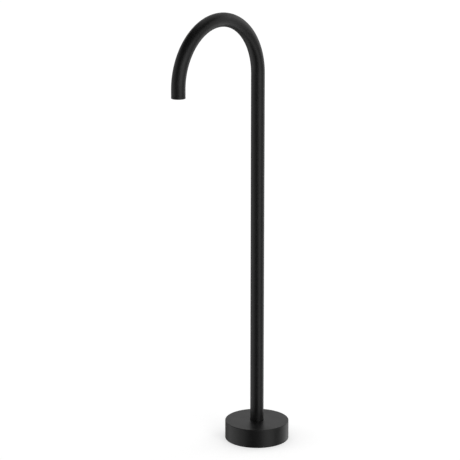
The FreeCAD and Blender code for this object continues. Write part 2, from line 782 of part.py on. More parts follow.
def make_spout_tube():
    """One tube: straight riser, half circle bend and short straight drop."""
    body = new_body("spout_tube")
    tube_end = f"({OUTLET_HEIGHT} + Sizes.collar_height)"
    foot, spring, end = value(RISER_FOOT), value(BEND_START), value(tube_end)
    radius, spout_y = value("Sizes.bend_radius"), value(SPOUT_Y)

    path = new_sketch(body, "path", "YZ_Plane")
    riser = path.addGeometry(
        Part.LineSegment(FreeCAD.Vector(0, foot, 0), FreeCAD.Vector(0, spring, 0)), False
    )
    bend_circle = Part.Circle(
        FreeCAD.Vector(-radius, spring, 0), FreeCAD.Vector(0, 0, 1), radius
    )
    bend = path.addGeometry(Part.ArcOfCircle(bend_circle, 0, math.pi), False)
    drop = path.addGeometry(
        Part.LineSegment(FreeCAD.Vector(spout_y, spring, 0), FreeCAD.Vector(spout_y, end, 0)),
        False,
    )
    path.addConstraint(Sketcher.Constraint("PointOnObject", riser, START, Y_AXIS_LINE))
    path.addConstraint(Sketcher.Constraint("Vertical", riser))
    path.addConstraint(Sketcher.Constraint("Tangent", riser, END, bend, START))
    path.addConstraint(Sketcher.Constraint("Tangent", bend, END, drop, START))
    path.addConstraint(Sketcher.Constraint("Vertical", drop))
    dimension(path, "DistanceY", ROOT, START, riser, START, RISER_FOOT)
    dimension(path, "DistanceY", ROOT, START, bend, CENTRE, BEND_START)
    dimension(path, "DistanceX", bend, CENTRE, ROOT, START, "Sizes.bend_radius")
    dimension(path, "DistanceY", ROOT, START, drop, END, tube_end)

    section = new_sketch(body, "section", "XY_Plane", RISER_FOOT)
    circle(section, ZERO, ZERO, TUBE_R)
    circle(section, ZERO, ZERO, TUBE_BORE_R)
    pipe = body.newObject("PartDesign::AdditivePipe", "spout_tube_bent")
    pipe.Profile = section
    pipe.Spine = (path, ["Edge1", "Edge2", "Edge3"])
    doc.recompute()

    # groove near the foot, in which the lock pads ride
    half_width = "((Sizes.lock_pad + Sizes.lock_groove_play) / 2)"
    past_tube = f"({TUBE_R} + Sizes.running_gap)"
    groove_foot = f"({GRIP_HEIGHT} - {half_width})"
    groove_top = f"({GRIP_HEIGHT} + {half_width})"
    corners = [
        (LOCK_GROOVE_R, groove_foot),
        (past_tube, groove_foot),
        (past_tube, groove_top),
        (LOCK_GROOVE_R, groove_top),
    ]
    groove = outline(new_sketch(body, "grip_groove", "XZ_Plane"), corners)
    turned_groove(body, "grip_turning", groove)
    chamfer(body, "seam", [(TUBE_R, tube_end), (TUBE_R, RISER_FOOT)], "Sizes.seam_bevel")


def make_riser_sleeve():
    """Thick sleeve brazed into the riser's foot, whose bore runs on the nipple's seals."""
    top = f"({RISER_FOOT} + Sizes.sleeve_length)"
    body = turned_ring("riser_sleeve", SLEEVE_BORE_R, SLEEVE_R, RISER_FOOT, top)
    chamfer(
        body, "lead_in", [(SLEEVE_BORE_R, RISER_FOOT), (SLEEVE_BORE_R, top)], "Sizes.sleeve_lead_in"
    )


def make_outlet_collar():
    """Ring brazed into the spout's end: a flush band outside, the aerator's thread inside."""
    body = new_body("outlet_collar")
    corners = [
        (COLLAR_BORE_R, ZERO),
        (TUBE_R, ZERO),
        (TUBE_R, "(Sizes.collar_height - Sizes.collar_taper)"),
        (f"({TUBE_R} - Sizes.collar_taper_depth)", "Sizes.collar_height"),
        (SLEEVE_R, "Sizes.collar_height"),
        (SLEEVE_R, COLLAR_TOP),
        (SEAT_BORE_R, COLLAR_TOP),
        (SEAT_BORE_R, SEAT_HEIGHT),
        (COLLAR_BORE_R, SEAT_HEIGHT),
    ]
    revolve(body, "turning", outline(new_sketch(body, "section", "XZ_Plane"), corners))
    fillet(body, "mouth_round", [(TUBE_R, ZERO)], "Sizes.collar_round")
    chamfer(body, "thread_mouth", [(COLLAR_BORE_R, ZERO)], "Sizes.seam_bevel")
    seat_at_mouth(body)


def make_aerator_housing():
    """Threaded shell of the aerator, with notches round its foot for a key."""
    body = new_body("aerator_housing")
    foot = "Sizes.aerator_recess"
    corners = [
        (HOUSING_LIP_R, foot),
        (AERATOR_R, foot),
        (AERATOR_R, HOUSING_TOP),
        (HOUSING_BORE_R, HOUSING_TOP),
        (HOUSING_BORE_R, LEDGE_HEIGHT),
        (HOUSING_LIP_R, LEDGE_HEIGHT),
    ]
    revolve(body, "turning", outline(new_sketch(body, "section", "XZ_Plane"), corners))
    notch_near = f"({AERATOR_R} - Sizes.housing_wall + Sizes.key_notch_inset)"
    notch_far = f"({AERATOR_R} + Sizes.key_notch_inset)"
    half_notch = "(Sizes.key_notch / 2)"
    notch = outline(
        new_sketch(body, "key_notch", "XY_Plane", foot),
        [
            (notch_near, f"(-{half_notch})"),
            (notch_far, f"(-{half_notch})"),
            (notch_far, half_notch),
            (notch_near, half_notch),
        ],
    )
    first = pocket(body, "notch", notch, "Sizes.key_notch_depth", reverse=True)
    around(body, "notches", [first], "Sizes.key_notch_count")
    chamfer(body, "lip", [(HOUSING_LIP_R, foot), (AERATOR_R, HOUSING_TOP)], "Sizes.housing_bevel")
    seat_at_mouth(body)


def make_aerator_seal():
    """Flat washer between the aerator and the collar's seat."""
    seal = turned_ring("aerator_seal", SEAT_BORE_R, AERATOR_R, HOUSING_TOP, SEAT_HEIGHT)
    seat_at_mouth(seal)


# ---------------------------------------------------------------------------------------------
# Cover
# ---------------------------------------------------------------------------------------------


def make_cover_shell():
    """Drum shaped cover, open below, with a boss round the riser for its seal."""
    body = new_body("cover_shell")
    corners = [
        (COVER_HOLE_R, "Sizes.cover_height"),
        (COVER_R, "Sizes.cover_height"),
        (COVER_R, ZERO),
        (COVER_BORE_R, ZERO),
        (COVER_BORE_R, COVER_UNDERSIDE),
        (COVER_BOSS_R, COVER_UNDERSIDE),
        (COVER_BOSS_R, COVER_RING_FOOT),
        (COVER_POCKET_R, COVER_RING_FOOT),
        (COVER_POCKET_R, COVER_UNDERSIDE),
        (COVER_HOLE_R, COVER_UNDERSIDE),
    ]
    revolve(body, "turning", outline(new_sketch(body, "section", "XZ_Plane"), corners))
    fillet(body, "top_round", [(COVER_R, "Sizes.cover_height")], "Sizes.cover_edge_round")
    fillet(
        body,
        "inner_rounds",
        [(COVER_BORE_R, COVER_UNDERSIDE), (COVER_BOSS_R, COVER_UNDERSIDE)],
        "Sizes.cover_boss_round",
    )
    chamfer(
        body,
        "rim_bevel",
        [(COVER_R, ZERO), (COVER_HOLE_R, "Sizes.cover_height")],
        "Sizes.cover_rim_bevel",
    )


def make_cover_seal():
    """Ring of rubber that grips the riser and holds the cover where it is put."""
    height = f"({COVER_UNDERSIDE} - Sizes.cover_seal_section / 2)"
    o_ring("cover_seal", f"({TUBE_R} + Sizes.running_gap)", COVER_POCKET_R, height)


def make_cover_ring():
    """Ring pressed into the cover's boss, which keeps the seal in."""
    turned_ring(
        "cover_ring",
        COVER_HOLE_R,
        f"({COVER_POCKET_R} - Sizes.fit_gap)",
        COVER_RING_FOOT,
        COVER_RING_TOP,
    )


# ---------------------------------------------------------------------------------------------
# Build, test and write
# ---------------------------------------------------------------------------------------------


def test_and_write():
    doc.recompute()
    for item in doc.Objects:
        if "Invalid" in item.State or "Error" in item.State:
            raise RuntimeError(f"{item.Label} failed: {item.State}")
    os.makedirs(OUT_FOLDER, exist_ok=True)
    for body in bodies:
        shape = body.Shape
        if shape.isNull() or not shape.isValid() or not shape.Solids:
            raise RuntimeError(f"{body.Label} has no valid solid")
        shape.exportStep(os.path.join(OUT_FOLDER, f"{body.Label}.step"))
        print(f"{body.Label}: {len(shape.Solids)} solid(s), {shape.Volume:.0f} mm3")


make_base_gasket()
make_base_plate()
make_socket_body()
make_socket_screws()
make_lock_screws()
make_lock_pads()
make_bushes()
make_nipple_seals()
make_inlet_washer()
make_inlet_strainer()
make_spout_tube()
make_riser_sleeve()
make_outlet_collar()
make_aerator_housing()
make_aerator_grille()
make_aerator_strainer()
make_aerator_seal()
make_cover_shell()
make_cover_seal()
make_cover_ring()
test_and_write()
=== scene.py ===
# %% [markdown]
# # A floor standing bath filler in satin black
# One bent tube rises from a round drum on the floor, turns over in a half circle and lets the water
# fall into a bath. Under the drum a bolted socket holds the tube, feeds it and lets it swivel.
# The construction model comes in as a fixed frame, in metres, with the riser's axis on Z and the
# spout reaching towards -Y. It could be shown as it is, but its curves are coarse and its screws
# have no threads. So what shows, from outside or with the drum lifted, is modelled again here, and
# every piece gets the finish of the real one.

import math

import bmesh
import bpy
from mathutils import Matrix, Vector


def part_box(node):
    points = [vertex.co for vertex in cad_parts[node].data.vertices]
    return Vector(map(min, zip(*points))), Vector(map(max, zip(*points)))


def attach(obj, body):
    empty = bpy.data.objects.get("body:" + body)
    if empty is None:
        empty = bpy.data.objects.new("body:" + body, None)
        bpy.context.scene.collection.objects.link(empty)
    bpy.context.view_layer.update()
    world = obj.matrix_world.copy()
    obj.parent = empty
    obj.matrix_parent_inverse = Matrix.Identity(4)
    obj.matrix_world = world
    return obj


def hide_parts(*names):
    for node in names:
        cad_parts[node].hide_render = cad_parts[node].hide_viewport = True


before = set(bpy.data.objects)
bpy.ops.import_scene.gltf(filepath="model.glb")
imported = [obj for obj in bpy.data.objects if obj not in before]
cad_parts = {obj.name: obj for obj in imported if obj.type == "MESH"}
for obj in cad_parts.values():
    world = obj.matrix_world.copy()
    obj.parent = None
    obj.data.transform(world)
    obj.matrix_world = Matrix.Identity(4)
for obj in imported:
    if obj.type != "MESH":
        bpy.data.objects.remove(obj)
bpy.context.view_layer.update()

# %% [markdown]
# ## Sizes
# A maker's drawing is in millimetres and Blender works in metres, so sizes are written as on the
# drawing and turned once. The main ones could be typed in again, but then they could drift away from
# the frame, so they are read from its nodes. Coarse curves make a node's box up to 0.05 mm smaller
# than the drawing, so what is read goes to the nearest half millimetre.

# %% Sizes
MM = 0.001
FULL_TURN = 2 * math.pi
HALF_TURN = math.pi
QUARTER_TURN = math.pi / 2


def to_half(metres):
    """Metres as mm, to the nearest half."""
    return round(2 * metres / MM) / 2


def size_of(node):
    """A round node's radius across X, its foot and its top, in mm."""
    low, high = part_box(node)
    return [to_half(v) for v in ((high[0] - low[0]) / 2, low[2], high[2])]


TUBE_R, RISER_FOOT, OVERALL_HEIGHT = size_of("spout_tube")
low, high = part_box("outlet_collar")
SPOUT_Y = to_half((low[1] + high[1]) / 2)
BEND_R = -SPOUT_Y / 2
BEND_START = OVERALL_HEIGHT - TUBE_R - BEND_R
print("tube radius", TUBE_R, "bend radius", BEND_R, "from", BEND_START, "spout at y", SPOUT_Y)

COLLAR_BAND = 6.0  # what shows of the collar under the tube's end
MOUTH_HEIGHT, COLLAR_TOP = size_of("outlet_collar")[1:]
TUBE_END = MOUTH_HEIGHT + COLLAR_BAND
SEAM_BEVEL = 0.5
print("mouth at", MOUTH_HEIGHT, "tube ends at", TUBE_END)

# %% [markdown]
# ## The camera
# The photograph was taken with a long lens from about 4.5 m, well to the right of the spout and
# looking down on it. Its outline gives the distance, the height and the angle together: with a
# shorter lens the drum would look rounder than it does and the bend more drawn out.

# %% The camera
SPOUT_TURN = math.radians(38.96)  # how far the camera stands round from the spout's own plane
CAMERA_DISTANCE, CAMERA_HEIGHT = 4.4586, 1.6766  # metres
LOOK_DOWN, LOOK_ASIDE, LOOK_TILT = 0.2551, -0.0144, 0.0005  # radians
LENS = 154.11  # mm


def round_riser(azimuth, distance=1.0, height=0.0):
    """The place at an azimuth from the camera's own side, in degrees, positive to its right."""
    angle = math.radians(azimuth) + SPOUT_TURN
    return Vector((distance * math.sin(angle), -distance * math.cos(angle), height))


camera_data = bpy.data.cameras.new("camera")
camera_data.lens = LENS
camera = bpy.data.objects.new("camera", camera_data)
bpy.context.scene.collection.objects.link(camera)
camera.location = round_riser(0, CAMERA_DISTANCE, CAMERA_HEIGHT)
look = Vector(
    (
        math.sin(LOOK_ASIDE) * math.cos(LOOK_DOWN),
        math.cos(LOOK_ASIDE) * math.cos(LOOK_DOWN),
        -math.sin(LOOK_DOWN),
    )
)
look.rotate(Matrix.Rotation(SPOUT_TURN, 3, "Z"))
turn = look.to_track_quat("-Z", "Y").to_matrix() @ Matrix.Rotation(-LOOK_TILT, 3, "Z")
camera.rotation_euler = turn.to_euler()
bpy.context.scene.camera = camera
print("camera at", [round(v, 3) for v in camera.location])

# %% [markdown]
# ## Making a finish
# A finish starts from the real material: its colour as a hex value, its roughness, and whether it is
# metal. Pictures of a surface could carry its detail, but patterns made by nodes need no file and
# stay sharp from close by. The first helper turns a hex colour to the linear values that Blender
# works with, and the second adds one node with its settings and links.

# %% Colour and node helpers
SRGB_STEP = 0.04045


def linear(hex_colour):
    """The linear RGBA of an sRGB hex colour such as #1a1a1a."""
    parts = [int(hex_colour[i : i + 2], 16) / 255 for i in (1, 3, 5)]
    return [v / 12.92 if v <= SRGB_STEP else ((v + 0.055) / 1.055) ** 2.4 for v in parts] + [1.0]


def add_node(tree, kind, inputs=None, **settings):
    """One node: settings on the node itself, and a value or a link for each input named."""
    node = tree.nodes.new(kind)
    for name, value in settings.items():
        setattr(node, name, value)
    for name, value in (inputs or {}).items():
        if isinstance(value, bpy.types.NodeSocket):
            tree.links.new(value, node.inputs[name])
        else:
            node.inputs[name].default_value = value
    return node


print("the middle grey #808080 is", round(linear("#808080")[0], 3), "of full light")

# %% [markdown]
# ## Patterns
# A turned or bent piece has no flat map without seams, so patterns read Object coordinates. They are
# metres on these pieces, which makes a grain's scale one over its real size. The helpers draw a
# grain, turn it to a range of values, press it into the surface as a bump, mix two colours by it,
# and draw the rings that a lathe's tool leaves.

# %% Patterns
NOISE_REACH = 0.2  # noise stays near a half, so only this much each side of it is used


def grain(tree, place, size, detail=2.0):
    """Random grain whose lumps are about size mm across."""
    noise = {"Vector": place, "Scale": 1 / (size * MM), "Detail": detail}
    return add_node(tree, "ShaderNodeTexNoise", noise).outputs["Fac"]


def spread(tree, factor, low=0.0, high=1.0):
    """A grain's factor turned to values from low to high."""
    limits = {"Value": factor, "To Min": low, "To Max": high}
    limits |= {"From Min": 0.5 - NOISE_REACH, "From Max": 0.5 + NOISE_REACH}
    return add_node(tree, "ShaderNodeMapRange", limits).outputs["Result"]


def bump(tree, height, depth, under=None):
    """A bump of depth mm, on top of another one if there is one under it."""
    inputs = {"Height": height, "Distance": depth * MM, "Strength": 1.0}
    if under:
        inputs["Normal"] = under
    return add_node(tree, "ShaderNodeBump", inputs).outputs["Normal"]


def two_tones(tree, factor, first, second):
    """A colour between two hex colours. Inputs 6 and 7 and output 2 are the node's colour ones."""
    inputs = {"Factor": factor, 6: linear(first), 7: linear(second)}
    return add_node(tree, "ShaderNodeMix", inputs, data_type="RGBA").outputs[2]


def lathe_rings(tree, place, pitch):
    """Rings round the riser's axis, on flat faces and on walls alike, pitch mm apart."""
    apart = add_node(tree, "ShaderNodeSeparateXYZ", {"Vector": place}).outputs
    across = {"X": apart["X"], "Y": apart["Y"]}
    flat = add_node(tree, "ShaderNodeCombineXYZ", across).outputs["Vector"]
    radius = add_node(tree, "ShaderNodeVectorMath", {0: flat}, operation="LENGTH").outputs["Value"]
    out_and_up = {0: radius, 1: apart["Z"]}
    along = add_node(tree, "ShaderNodeMath", out_and_up, operation="ADD").outputs["Value"]
    rings ={"W": along, "Scale": 1 / (pitch * MM), "Detail": 3.0}
    return add_node(tree, "ShaderNodeTexNoise", rings, noise_dimensions="1D").outputs["Fac"]


print("noise is used from", 0.5 - NOISE_REACH, "to", 0.5 + NOISE_REACH)

# %% [markdown]
# ## The shader that every finish starts from
# Blender's Principled shader covers metal, paint, rubber and plastic alike, so one helper makes it
# with the material's own gloss and index, and a second one lays the patterns on it.

# %% Starting and filling a shader


def new_finish(name, roughness, metallic=0.0, ior=None):
    """A material with a Principled shader: its tree, its shader and its Object coordinates."""
    material = bpy.data.materials.new(name)
    material.use_nodes = True
    tree = material.node_tree
    shader = tree.nodes["Principled BSDF"]
    shader.inputs["Roughness"].default_value = roughness
    shader.inputs["Metallic"].default_value = metallic
    if ior:
        shader.inputs["IOR"].default_value = ior
    place = add_node(tree, "ShaderNodeTexCoord").outputs["Object"]
    print("finish:", name)
    return material, tree, shader, place


def lay_on(shader, tree, **sockets):
    """Links patterns into the shader, by socket name with _ for a space."""
    for name, output in sockets.items():
        tree.links.new(output, shader.inputs[name.replace("_", " ")])


# %% [markdown]
# ## Satin black powder coat
# The tube, the collar and the drum are polished brass or steel under a black polyester powder coat,
# sprayed dry and melted in an oven. It flows out to a satin skin with a slight orange peel, waves of
# 2 to 3 mm and a few micrometres deep, over a much finer grain. A plain black would do from afar and
# look like a drawing from near, so both waves are here. The colour itself is nearly black, and what
# the eye reads as grey is the room in the sheen, so the roughness matters most: at 0.4 a tall light
# turns to a soft band down the riser.

# %% Satin black powder coat
COAT_ROUGHNESS, COAT_UNEVEN = 0.40, 0.02
PEEL_WAVE, PEEL_DEPTH = 2.6, 0.006
SKIN_GRAIN, SKIN_DEPTH = 0.45, 0.0012
COAT_SPECK, COAT_CLOUD = 0.8, 34.0

coat, tree, shader, place = new_finish("satin_black_powder_coat", COAT_ROUGHNESS, ior=1.5)
speck = spread(tree, grain(tree, place, COAT_SPECK))
cloud = grain(tree, place, COAT_CLOUD)
orange_peel = bump(tree, grain(tree, place, PEEL_WAVE), PEEL_DEPTH)
lay_on(
    shader,
    tree,
    Base_Color=two_tones(tree, speck, "#0e0e0e", "#131313"),
    Roughness=spread(tree, cloud, COAT_ROUGHNESS - COAT_UNEVEN, COAT_ROUGHNESS + COAT_UNEVEN),
    Normal=bump(tree, grain(tree, place, SKIN_GRAIN), SKIN_DEPTH, under=orange_peel),
)

# %% [markdown]
# ## Turned brass
# The socket and the sleeve are turned from brass bar and left bare, because the drum hides them.
# Fresh turned brass is yellow and bright, with rings from the tool about 0.15 mm apart, and it dulls
# unevenly where hands touched it. The rings could be cut into the mesh, but as a bump they cost
# nothing. They are drawn at 0.5 mm, as 0.15 mm would only sparkle.

# %% Turned brass
BRASS_RINGS, BRASS_RING_DEPTH, BRASS_PATCH = 0.5, 0.007, 9.0
BRASS_BRIGHT, BRASS_DULL = 0.24, 0.36

brass, tree, shader, place = new_finish("lathe_turned_brass", roughness=0.3, metallic=1.0)
dulled = grain(tree, place, BRASS_PATCH, detail=4.0)
lay_on(
    shader,
    tree,
    Base_Color=two_tones(tree, spread(tree, dulled), "#d2b372", "#c09b58"),
    Roughness=spread(tree, dulled, BRASS_BRIGHT, BRASS_DULL),
    Normal=bump(tree, lathe_rings(tree, place, BRASS_RINGS), BRASS_RING_DEPTH),
)

# %% [markdown]
# ## Zinc plated steel
# The floor plate is cut from 6 mm sheet, brushed flat and zinc plated. Plating is bluish grey and
# cloudy over a few millimetres, and the brushing still shows through it as straight scratches about
# 0.1 mm wide, drawn here at 0.4 mm. Stretching a grain along one axis with a Mapping node is the
# simplest way to get long scratches, and it keeps them straight as they are on brushed sheet.

# %% Zinc plated steel
SCRATCH_WIDTH, SCRATCH_DEPTH, PLATING_CLOUD = 0.4, 0.03, 4.0
BRUSHED_ALONG_X = (0.02, 1.0, 1.0)  # a scratch is 50 times as long as it is wide
ZINC_BRIGHT, ZINC_DULL = 0.34, 0.40

zinc, tree, shader, place = new_finish("zinc_plated_steel", roughness=0.36, metallic=1.0)
stretch = {"Vector": place, "Scale": BRUSHED_ALONG_X}
brushing = add_node(tree, "ShaderNodeMapping", stretch).outputs["Vector"]
scratches = grain(tree, brushing, SCRATCH_WIDTH, detail=3.0)
lay_on(
    shader,
    tree,
    Base_Color=two_tones(tree, spread(tree, scratches), "#bcc0c5", "#a9aeb4"),
    Roughness=spread(tree, grain(tree, place, PLATING_CLOUD, detail=5.0), ZINC_BRIGHT, ZINC_DULL),
    Normal=bump(tree, scratches, SCRATCH_DEPTH),
)

# %% [markdown]
# ## Stainless steel
# Cap screws, grub screws and the inlet's strainer are stainless: greyer and warmer than the plate,
# cold formed, and tumbled to an even dull shine with shallow dents of a few tenths of a millimetre.
# One grain makes both the dents and the gloss that changes with them, as on the real screws.

# %% Stainless steel
DENT_SIZE, DENT_DEPTH, STEEL_PATCH = 0.6, 0.012, 3.0
STEEL_BRIGHT, STEEL_DULL = 0.24, 0.36

stainless, tree, shader, place = new_finish("tumbled_stainless_steel", roughness=0.3, metallic=1.0)
tumbled = grain(tree, place, DENT_SIZE, detail=3.0)
lay_on(
    shader,
    tree,
    Base_Color=two_tones(tree, spread(tree, grain(tree, place, STEEL_PATCH)), "#a8a5a0", "#94918d"),
    Roughness=spread(tree, tumbled, STEEL_BRIGHT, STEEL_DULL),
    Normal=bump(tree, tumbled, DENT_DEPTH),
)

# %% [markdown]
# ## Rubber
# The floor gasket is cut from EPDM sheet with a fine cloth texture from the press, and dusty grey
# black. The O-rings and washers are moulded nitrile rubber: smoother, blacker, with a slight sheen.
# Two materials could be written out, but only colour, grain and gloss differ, so one helper makes
# both.

# %% Gasket and seal rubber
DUST_PATCH, RUBBER_UNEVEN = 5.0, 0.06


def rubber(name, dark, dusty, roughness, grain_size, depth):
    """Moulded or pressed rubber with dust in its grain."""
    material, tree, shader, place = new_finish(name, roughness, ior=1.52)
    texture = grain(tree, place, grain_size)
    dust = spread(tree, grain(tree, place, DUST_PATCH, detail=4.0))
    lay_on(
        shader,
        tree,
        Base_Color=two_tones(tree, dust, dark, dusty),
        Roughness=spread(tree, texture, roughness - RUBBER_UNEVEN, roughness + RUBBER_UNEVEN),
        Normal=bump(tree, texture, depth),
    )
    return material


gasket_rubber = rubber(
    "pressed_epdm_sheet", "#222223", "#2f2f30", roughness=0.82, grain_size=0.7, depth=0.05
)
seal_rubber = rubber(
    "moulded_nitrile_rubber", "#141415", "#1a1a1b", roughness=0.5, grain_size=0.3, depth=0.01
)

# %% [markdown]
# ## Turned acetal
# The bushes and pads are turned from white acetal, a waxy plastic with fine tool rings. Light goes a
# little way into it before it comes out again, and a small share of subsurface scattering over 1 mm
# gives that soft look, which a paint of the same colour lacks.

# %% Turned acetal
ACETAL_RINGS, ACETAL_RING_DEPTH, ACETAL_PATCH = 0.4, 0.012, 7.0
LIGHT_SHARE_INSIDE = 0.15

acetal, tree, shader, place = new_finish("turned_white_acetal", roughness=0.42, ior=1.48)
shader.inputs["Subsurface Weight"].default_value = LIGHT_SHARE_INSIDE
shader.inputs["Subsurface Scale"].default_value = MM
lay_on(
    shader,
    tree,
    Base_Color=two_tones(tree, spread(tree, grain(tree, place, ACETAL_PATCH)), "#e6e3da", "#dcd8cd"),
    Normal=bump(tree, lathe_rings(tree, place, ACETAL_RINGS), ACETAL_RING_DEPTH),
)

# %% [markdown]
# ## Moulded acetal
# The aerator's shell and the cover's ring are moulded black acetal, the honeycomb and the strainer
# grey. Their moulds are spark eroded, which leaves a fine matt texture of about a quarter of a
# millimetre on every face. It is the same on both colours, so one helper makes them.

# %% Moulded acetal
MOULD_GRAIN, MOULD_DEPTH, MOULD_PATCH, MOULD_UNEVEN = 0.25, 0.008, 3.0, 0.05


def moulded(name, colour, shade, roughness):
    """Injection moulded plastic with the fine texture of an eroded mould."""
    material, tree, shader, place = new_finish(name, roughness, ior=1.48)
    texture = grain(tree, place, MOULD_GRAIN, detail=3.0)
    lay_on(
        shader,
        tree,
        Base_Color=two_tones(tree, spread(tree, grain(tree, place, MOULD_PATCH)), colour, shade),
        Roughness=spread(tree, texture, roughness - MOULD_UNEVEN, roughness + MOULD_UNEVEN),
        Normal=bump(tree, texture, MOULD_DEPTH),
    )
    return material


black_acetal = moulded("moulded_black_acetal", "#1a1b1c", "#202122", roughness=0.48)
grey_acetal = moulded("moulded_grey_acetal", "#6c6f72", "#616467", roughness=0.45)

# %% [markdown]
# ## The lathe
# Nearly every piece of a bath filler is turned on a lathe, so this helper does what a lathe does: it
# spins an outline, a list of radius and height, round an axis. A cylinder could be pushed and pulled
# into the same shape, but an outline is how the turner's own drawing gives it. One that starts and
# ends on the axis leaves a loose edge there, which is taken out.

# %% Lathe
SAME_SPOT = 1e-7  # metres


def turned(outline, steps, centre=(0.0, 0.0)):
    """A bmesh of the outline, (radius, height) in mm, spun round a vertical axis at centre."""
    shape = bmesh.new()
    x, y = centre
    corners = [shape.verts.new(((x + r) * MM, y * MM, z * MM)) for r, z in outline]
    rim = [shape.edges.new(pair) for pair in zip(corners, corners[1:] + corners[:1])]
    bmesh.ops.spin(
        shape,
        geom=corners + rim,
        cent=(x * MM, y * MM, 0),
        axis=(0, 0, 1),
        angle=FULL_TURN,
        steps=steps,
        use_merge=True,
    )
    bmesh.ops.remove_doubles(shape, verts=shape.verts, dist=SAME_SPOT)
    on_axis = [edge for edge in shape.edges if edge.is_wire]
    bmesh.ops.delete(shape, geom=on_axis, context="EDGES")
    bmesh.ops.recalc_face_normals(shape, faces=shape.faces)
    print("turned:", len(outline), "points into", len(shape.faces), "faces")
    return shape


# %% [markdown]
# ## The file
# A turned edge is broken with a file or with the nose of the tool. In the editor it would be picked
# by hand, but a script has to find it by its place: the first helper finds a wall's vertices, the
# second a ring's edges, and the last one bevels or rounds them.

# %% File
NEARLY = 0.01  # mm


def on_wall(shape, radius, foot, top, centre=(0.0, 0.0)):
    """The vertices of a turned wall, each with its x and y from the axis at centre, in mm."""
    found = []
    for vert in shape.verts:
        x, y = vert.co.x / MM - centre[0], vert.co.y / MM - centre[1]
        level = foot - NEARLY < vert.co.z / MM < top + NEARLY
        if level and abs(math.hypot(x, y) - radius) < NEARLY:
            found.append((vert, x, y))
    return found


def ring_at(shape, radius, height, centre=(0.0, 0.0)):
    """The edges of the turned ring at that radius and height, in mm."""
    ring = {found[0] for found in on_wall(shape, radius, height, height, centre)}
    return [edge for edge in shape.edges if ring.issuperset(edge.verts)]


def rounded(shape, edges, size, segments=1):
    """Bevels edges by size in mm: one segment is a bevel, more are a round."""
    bmesh.ops.bevel(
        shape,
        geom=edges,
        offset=size * MM,
        offset_type="OFFSET",
        segments=segments,
        profile=0.5,
        affect="EDGES",
        material=-1,
        clamp_overlap=False,
    )


# %% [markdown]
# ## The bench
# A finished mesh becomes an object at the origin, on the body it moves with and in the place of its
# construction node. Turned metal has flat faces, round walls and crisp edges side by side. Shading
# it all smooth would smear the edges, and all flat would show the steps of the walls, so edges
# sharper than 30 degrees are marked and the normals are evened by face area.

# %% The bench
SHARP = math.radians(30)


def piece_from(shape, name, finish, body, replaced):
    """Puts a mesh on its body, in its finish and slot, and in the place of its construction node."""
    for edge in shape.edges:
        edge.smooth = not edge.is_manifold or edge.calc_face_angle(0) < SHARP
    for face in shape.faces:
        face.smooth = True
    open_edges = sum(not edge.is_manifold for edge in shape.edges)
    mesh = bpy.data.meshes.new(name)
    shape.to_mesh(mesh)
    shape.free()
    mesh.materials.append(finish)
    piece = bpy.data.objects.new(name, mesh)
    bpy.context.scene.collection.objects.link(piece)
    piece.modifiers.new("even normals", "WEIGHTED_NORMAL").keep_sharp = True
    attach(piece, body)
    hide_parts(replaced)
    print(f"{name}: {len(mesh.polygons)} faces, {open_edges} open edges")


# %% [markdown]
# ## Drawing and bending tube
# A tube bender pulls straight tube and then turns it round a former. The two helpers do the same to
# a ring of edges: one draws it out along a list of radii and heights, the other spins it round the
# bend's own axis. Each gives the new ring back, so that the next step starts from it.

# %% Drawing and bending tube
BEND_STEPS = 72


def only(kind, items):
    """The items of one kind out of what an operator gives back."""
    return [item for item in items if isinstance(item, kind)]


def draw_along(shape, rim, stops, axis_y=0.0):
    """Draws a ring of edges along stops, (radius, height) in mm, round the upright axis at axis_y."""
    for (radius, height), (next_radius, next_height) in zip(stops, stops[1:]):
        new = bmesh.ops.extrude_edge_only(shape, edges=rim)["geom"]
        verts = only(bmesh.types.BMVert, new)
        times = next_radius / radius
        axis = Matrix.Translation((0, -axis_y * MM, 0))
        bmesh.ops.scale(shape, vec=(times, times, 1), verts=verts, space=axis)
        bmesh.ops.translate(shape, vec=(0, 0, (next_height - height) * MM), verts=verts)
        ring = set(verts)
        rim = [edge for edge in only(bmesh.types.BMEdge, new) if ring.issuperset(edge.verts)]
    return rim


def bend_over(shape, rim, angle):
    """Spins a ring of edges round the bend's own axis."""
    last = bmesh.ops.spin(
        shape,
        geom=list(dict.fromkeys(vert for edge in rim for vert in edge.verts)) + rim,
        cent=(0, -BEND_R * MM, BEND_START * MM),
        axis=(1, 0, 0),
        angle=angle,
        steps=BEND_STEPS,
    )["geom_last"]
    return only(bmesh.types.BMEdge, last)


print("the bend is", round(HALF_TURN * BEND_R), "mm of tube in", BEND_STEPS, "steps")

# %% [markdown]
# ## The bent riser and spout
# The real one is a single length of 32 mm tube, 1.5 mm thick, bent cold over a round former with a
# mandrel inside so that it keeps its round section, and polished before it is coated. A curve with
# a bevel would give the same outside, but this way is nearer to the bench: a circle is drawn up
# into the riser, past the groove that the pads grip, spun through half a turn, and drawn down to
# the spout's end. The bore follows the same way back, so the tube has a real wall.

# %% Bent tube
TUBE_SIDES = 96
TUBE_WALL, GROOVE_DEPTH = 1.5, 0.6
TUBE_BORE_R, GROOVE_R = TUBE_R - TUBE_WALL, TUBE_R - GROOVE_DEPTH
GROOVE_FOOT, GROOVE_TOP = 21.35, 27.15

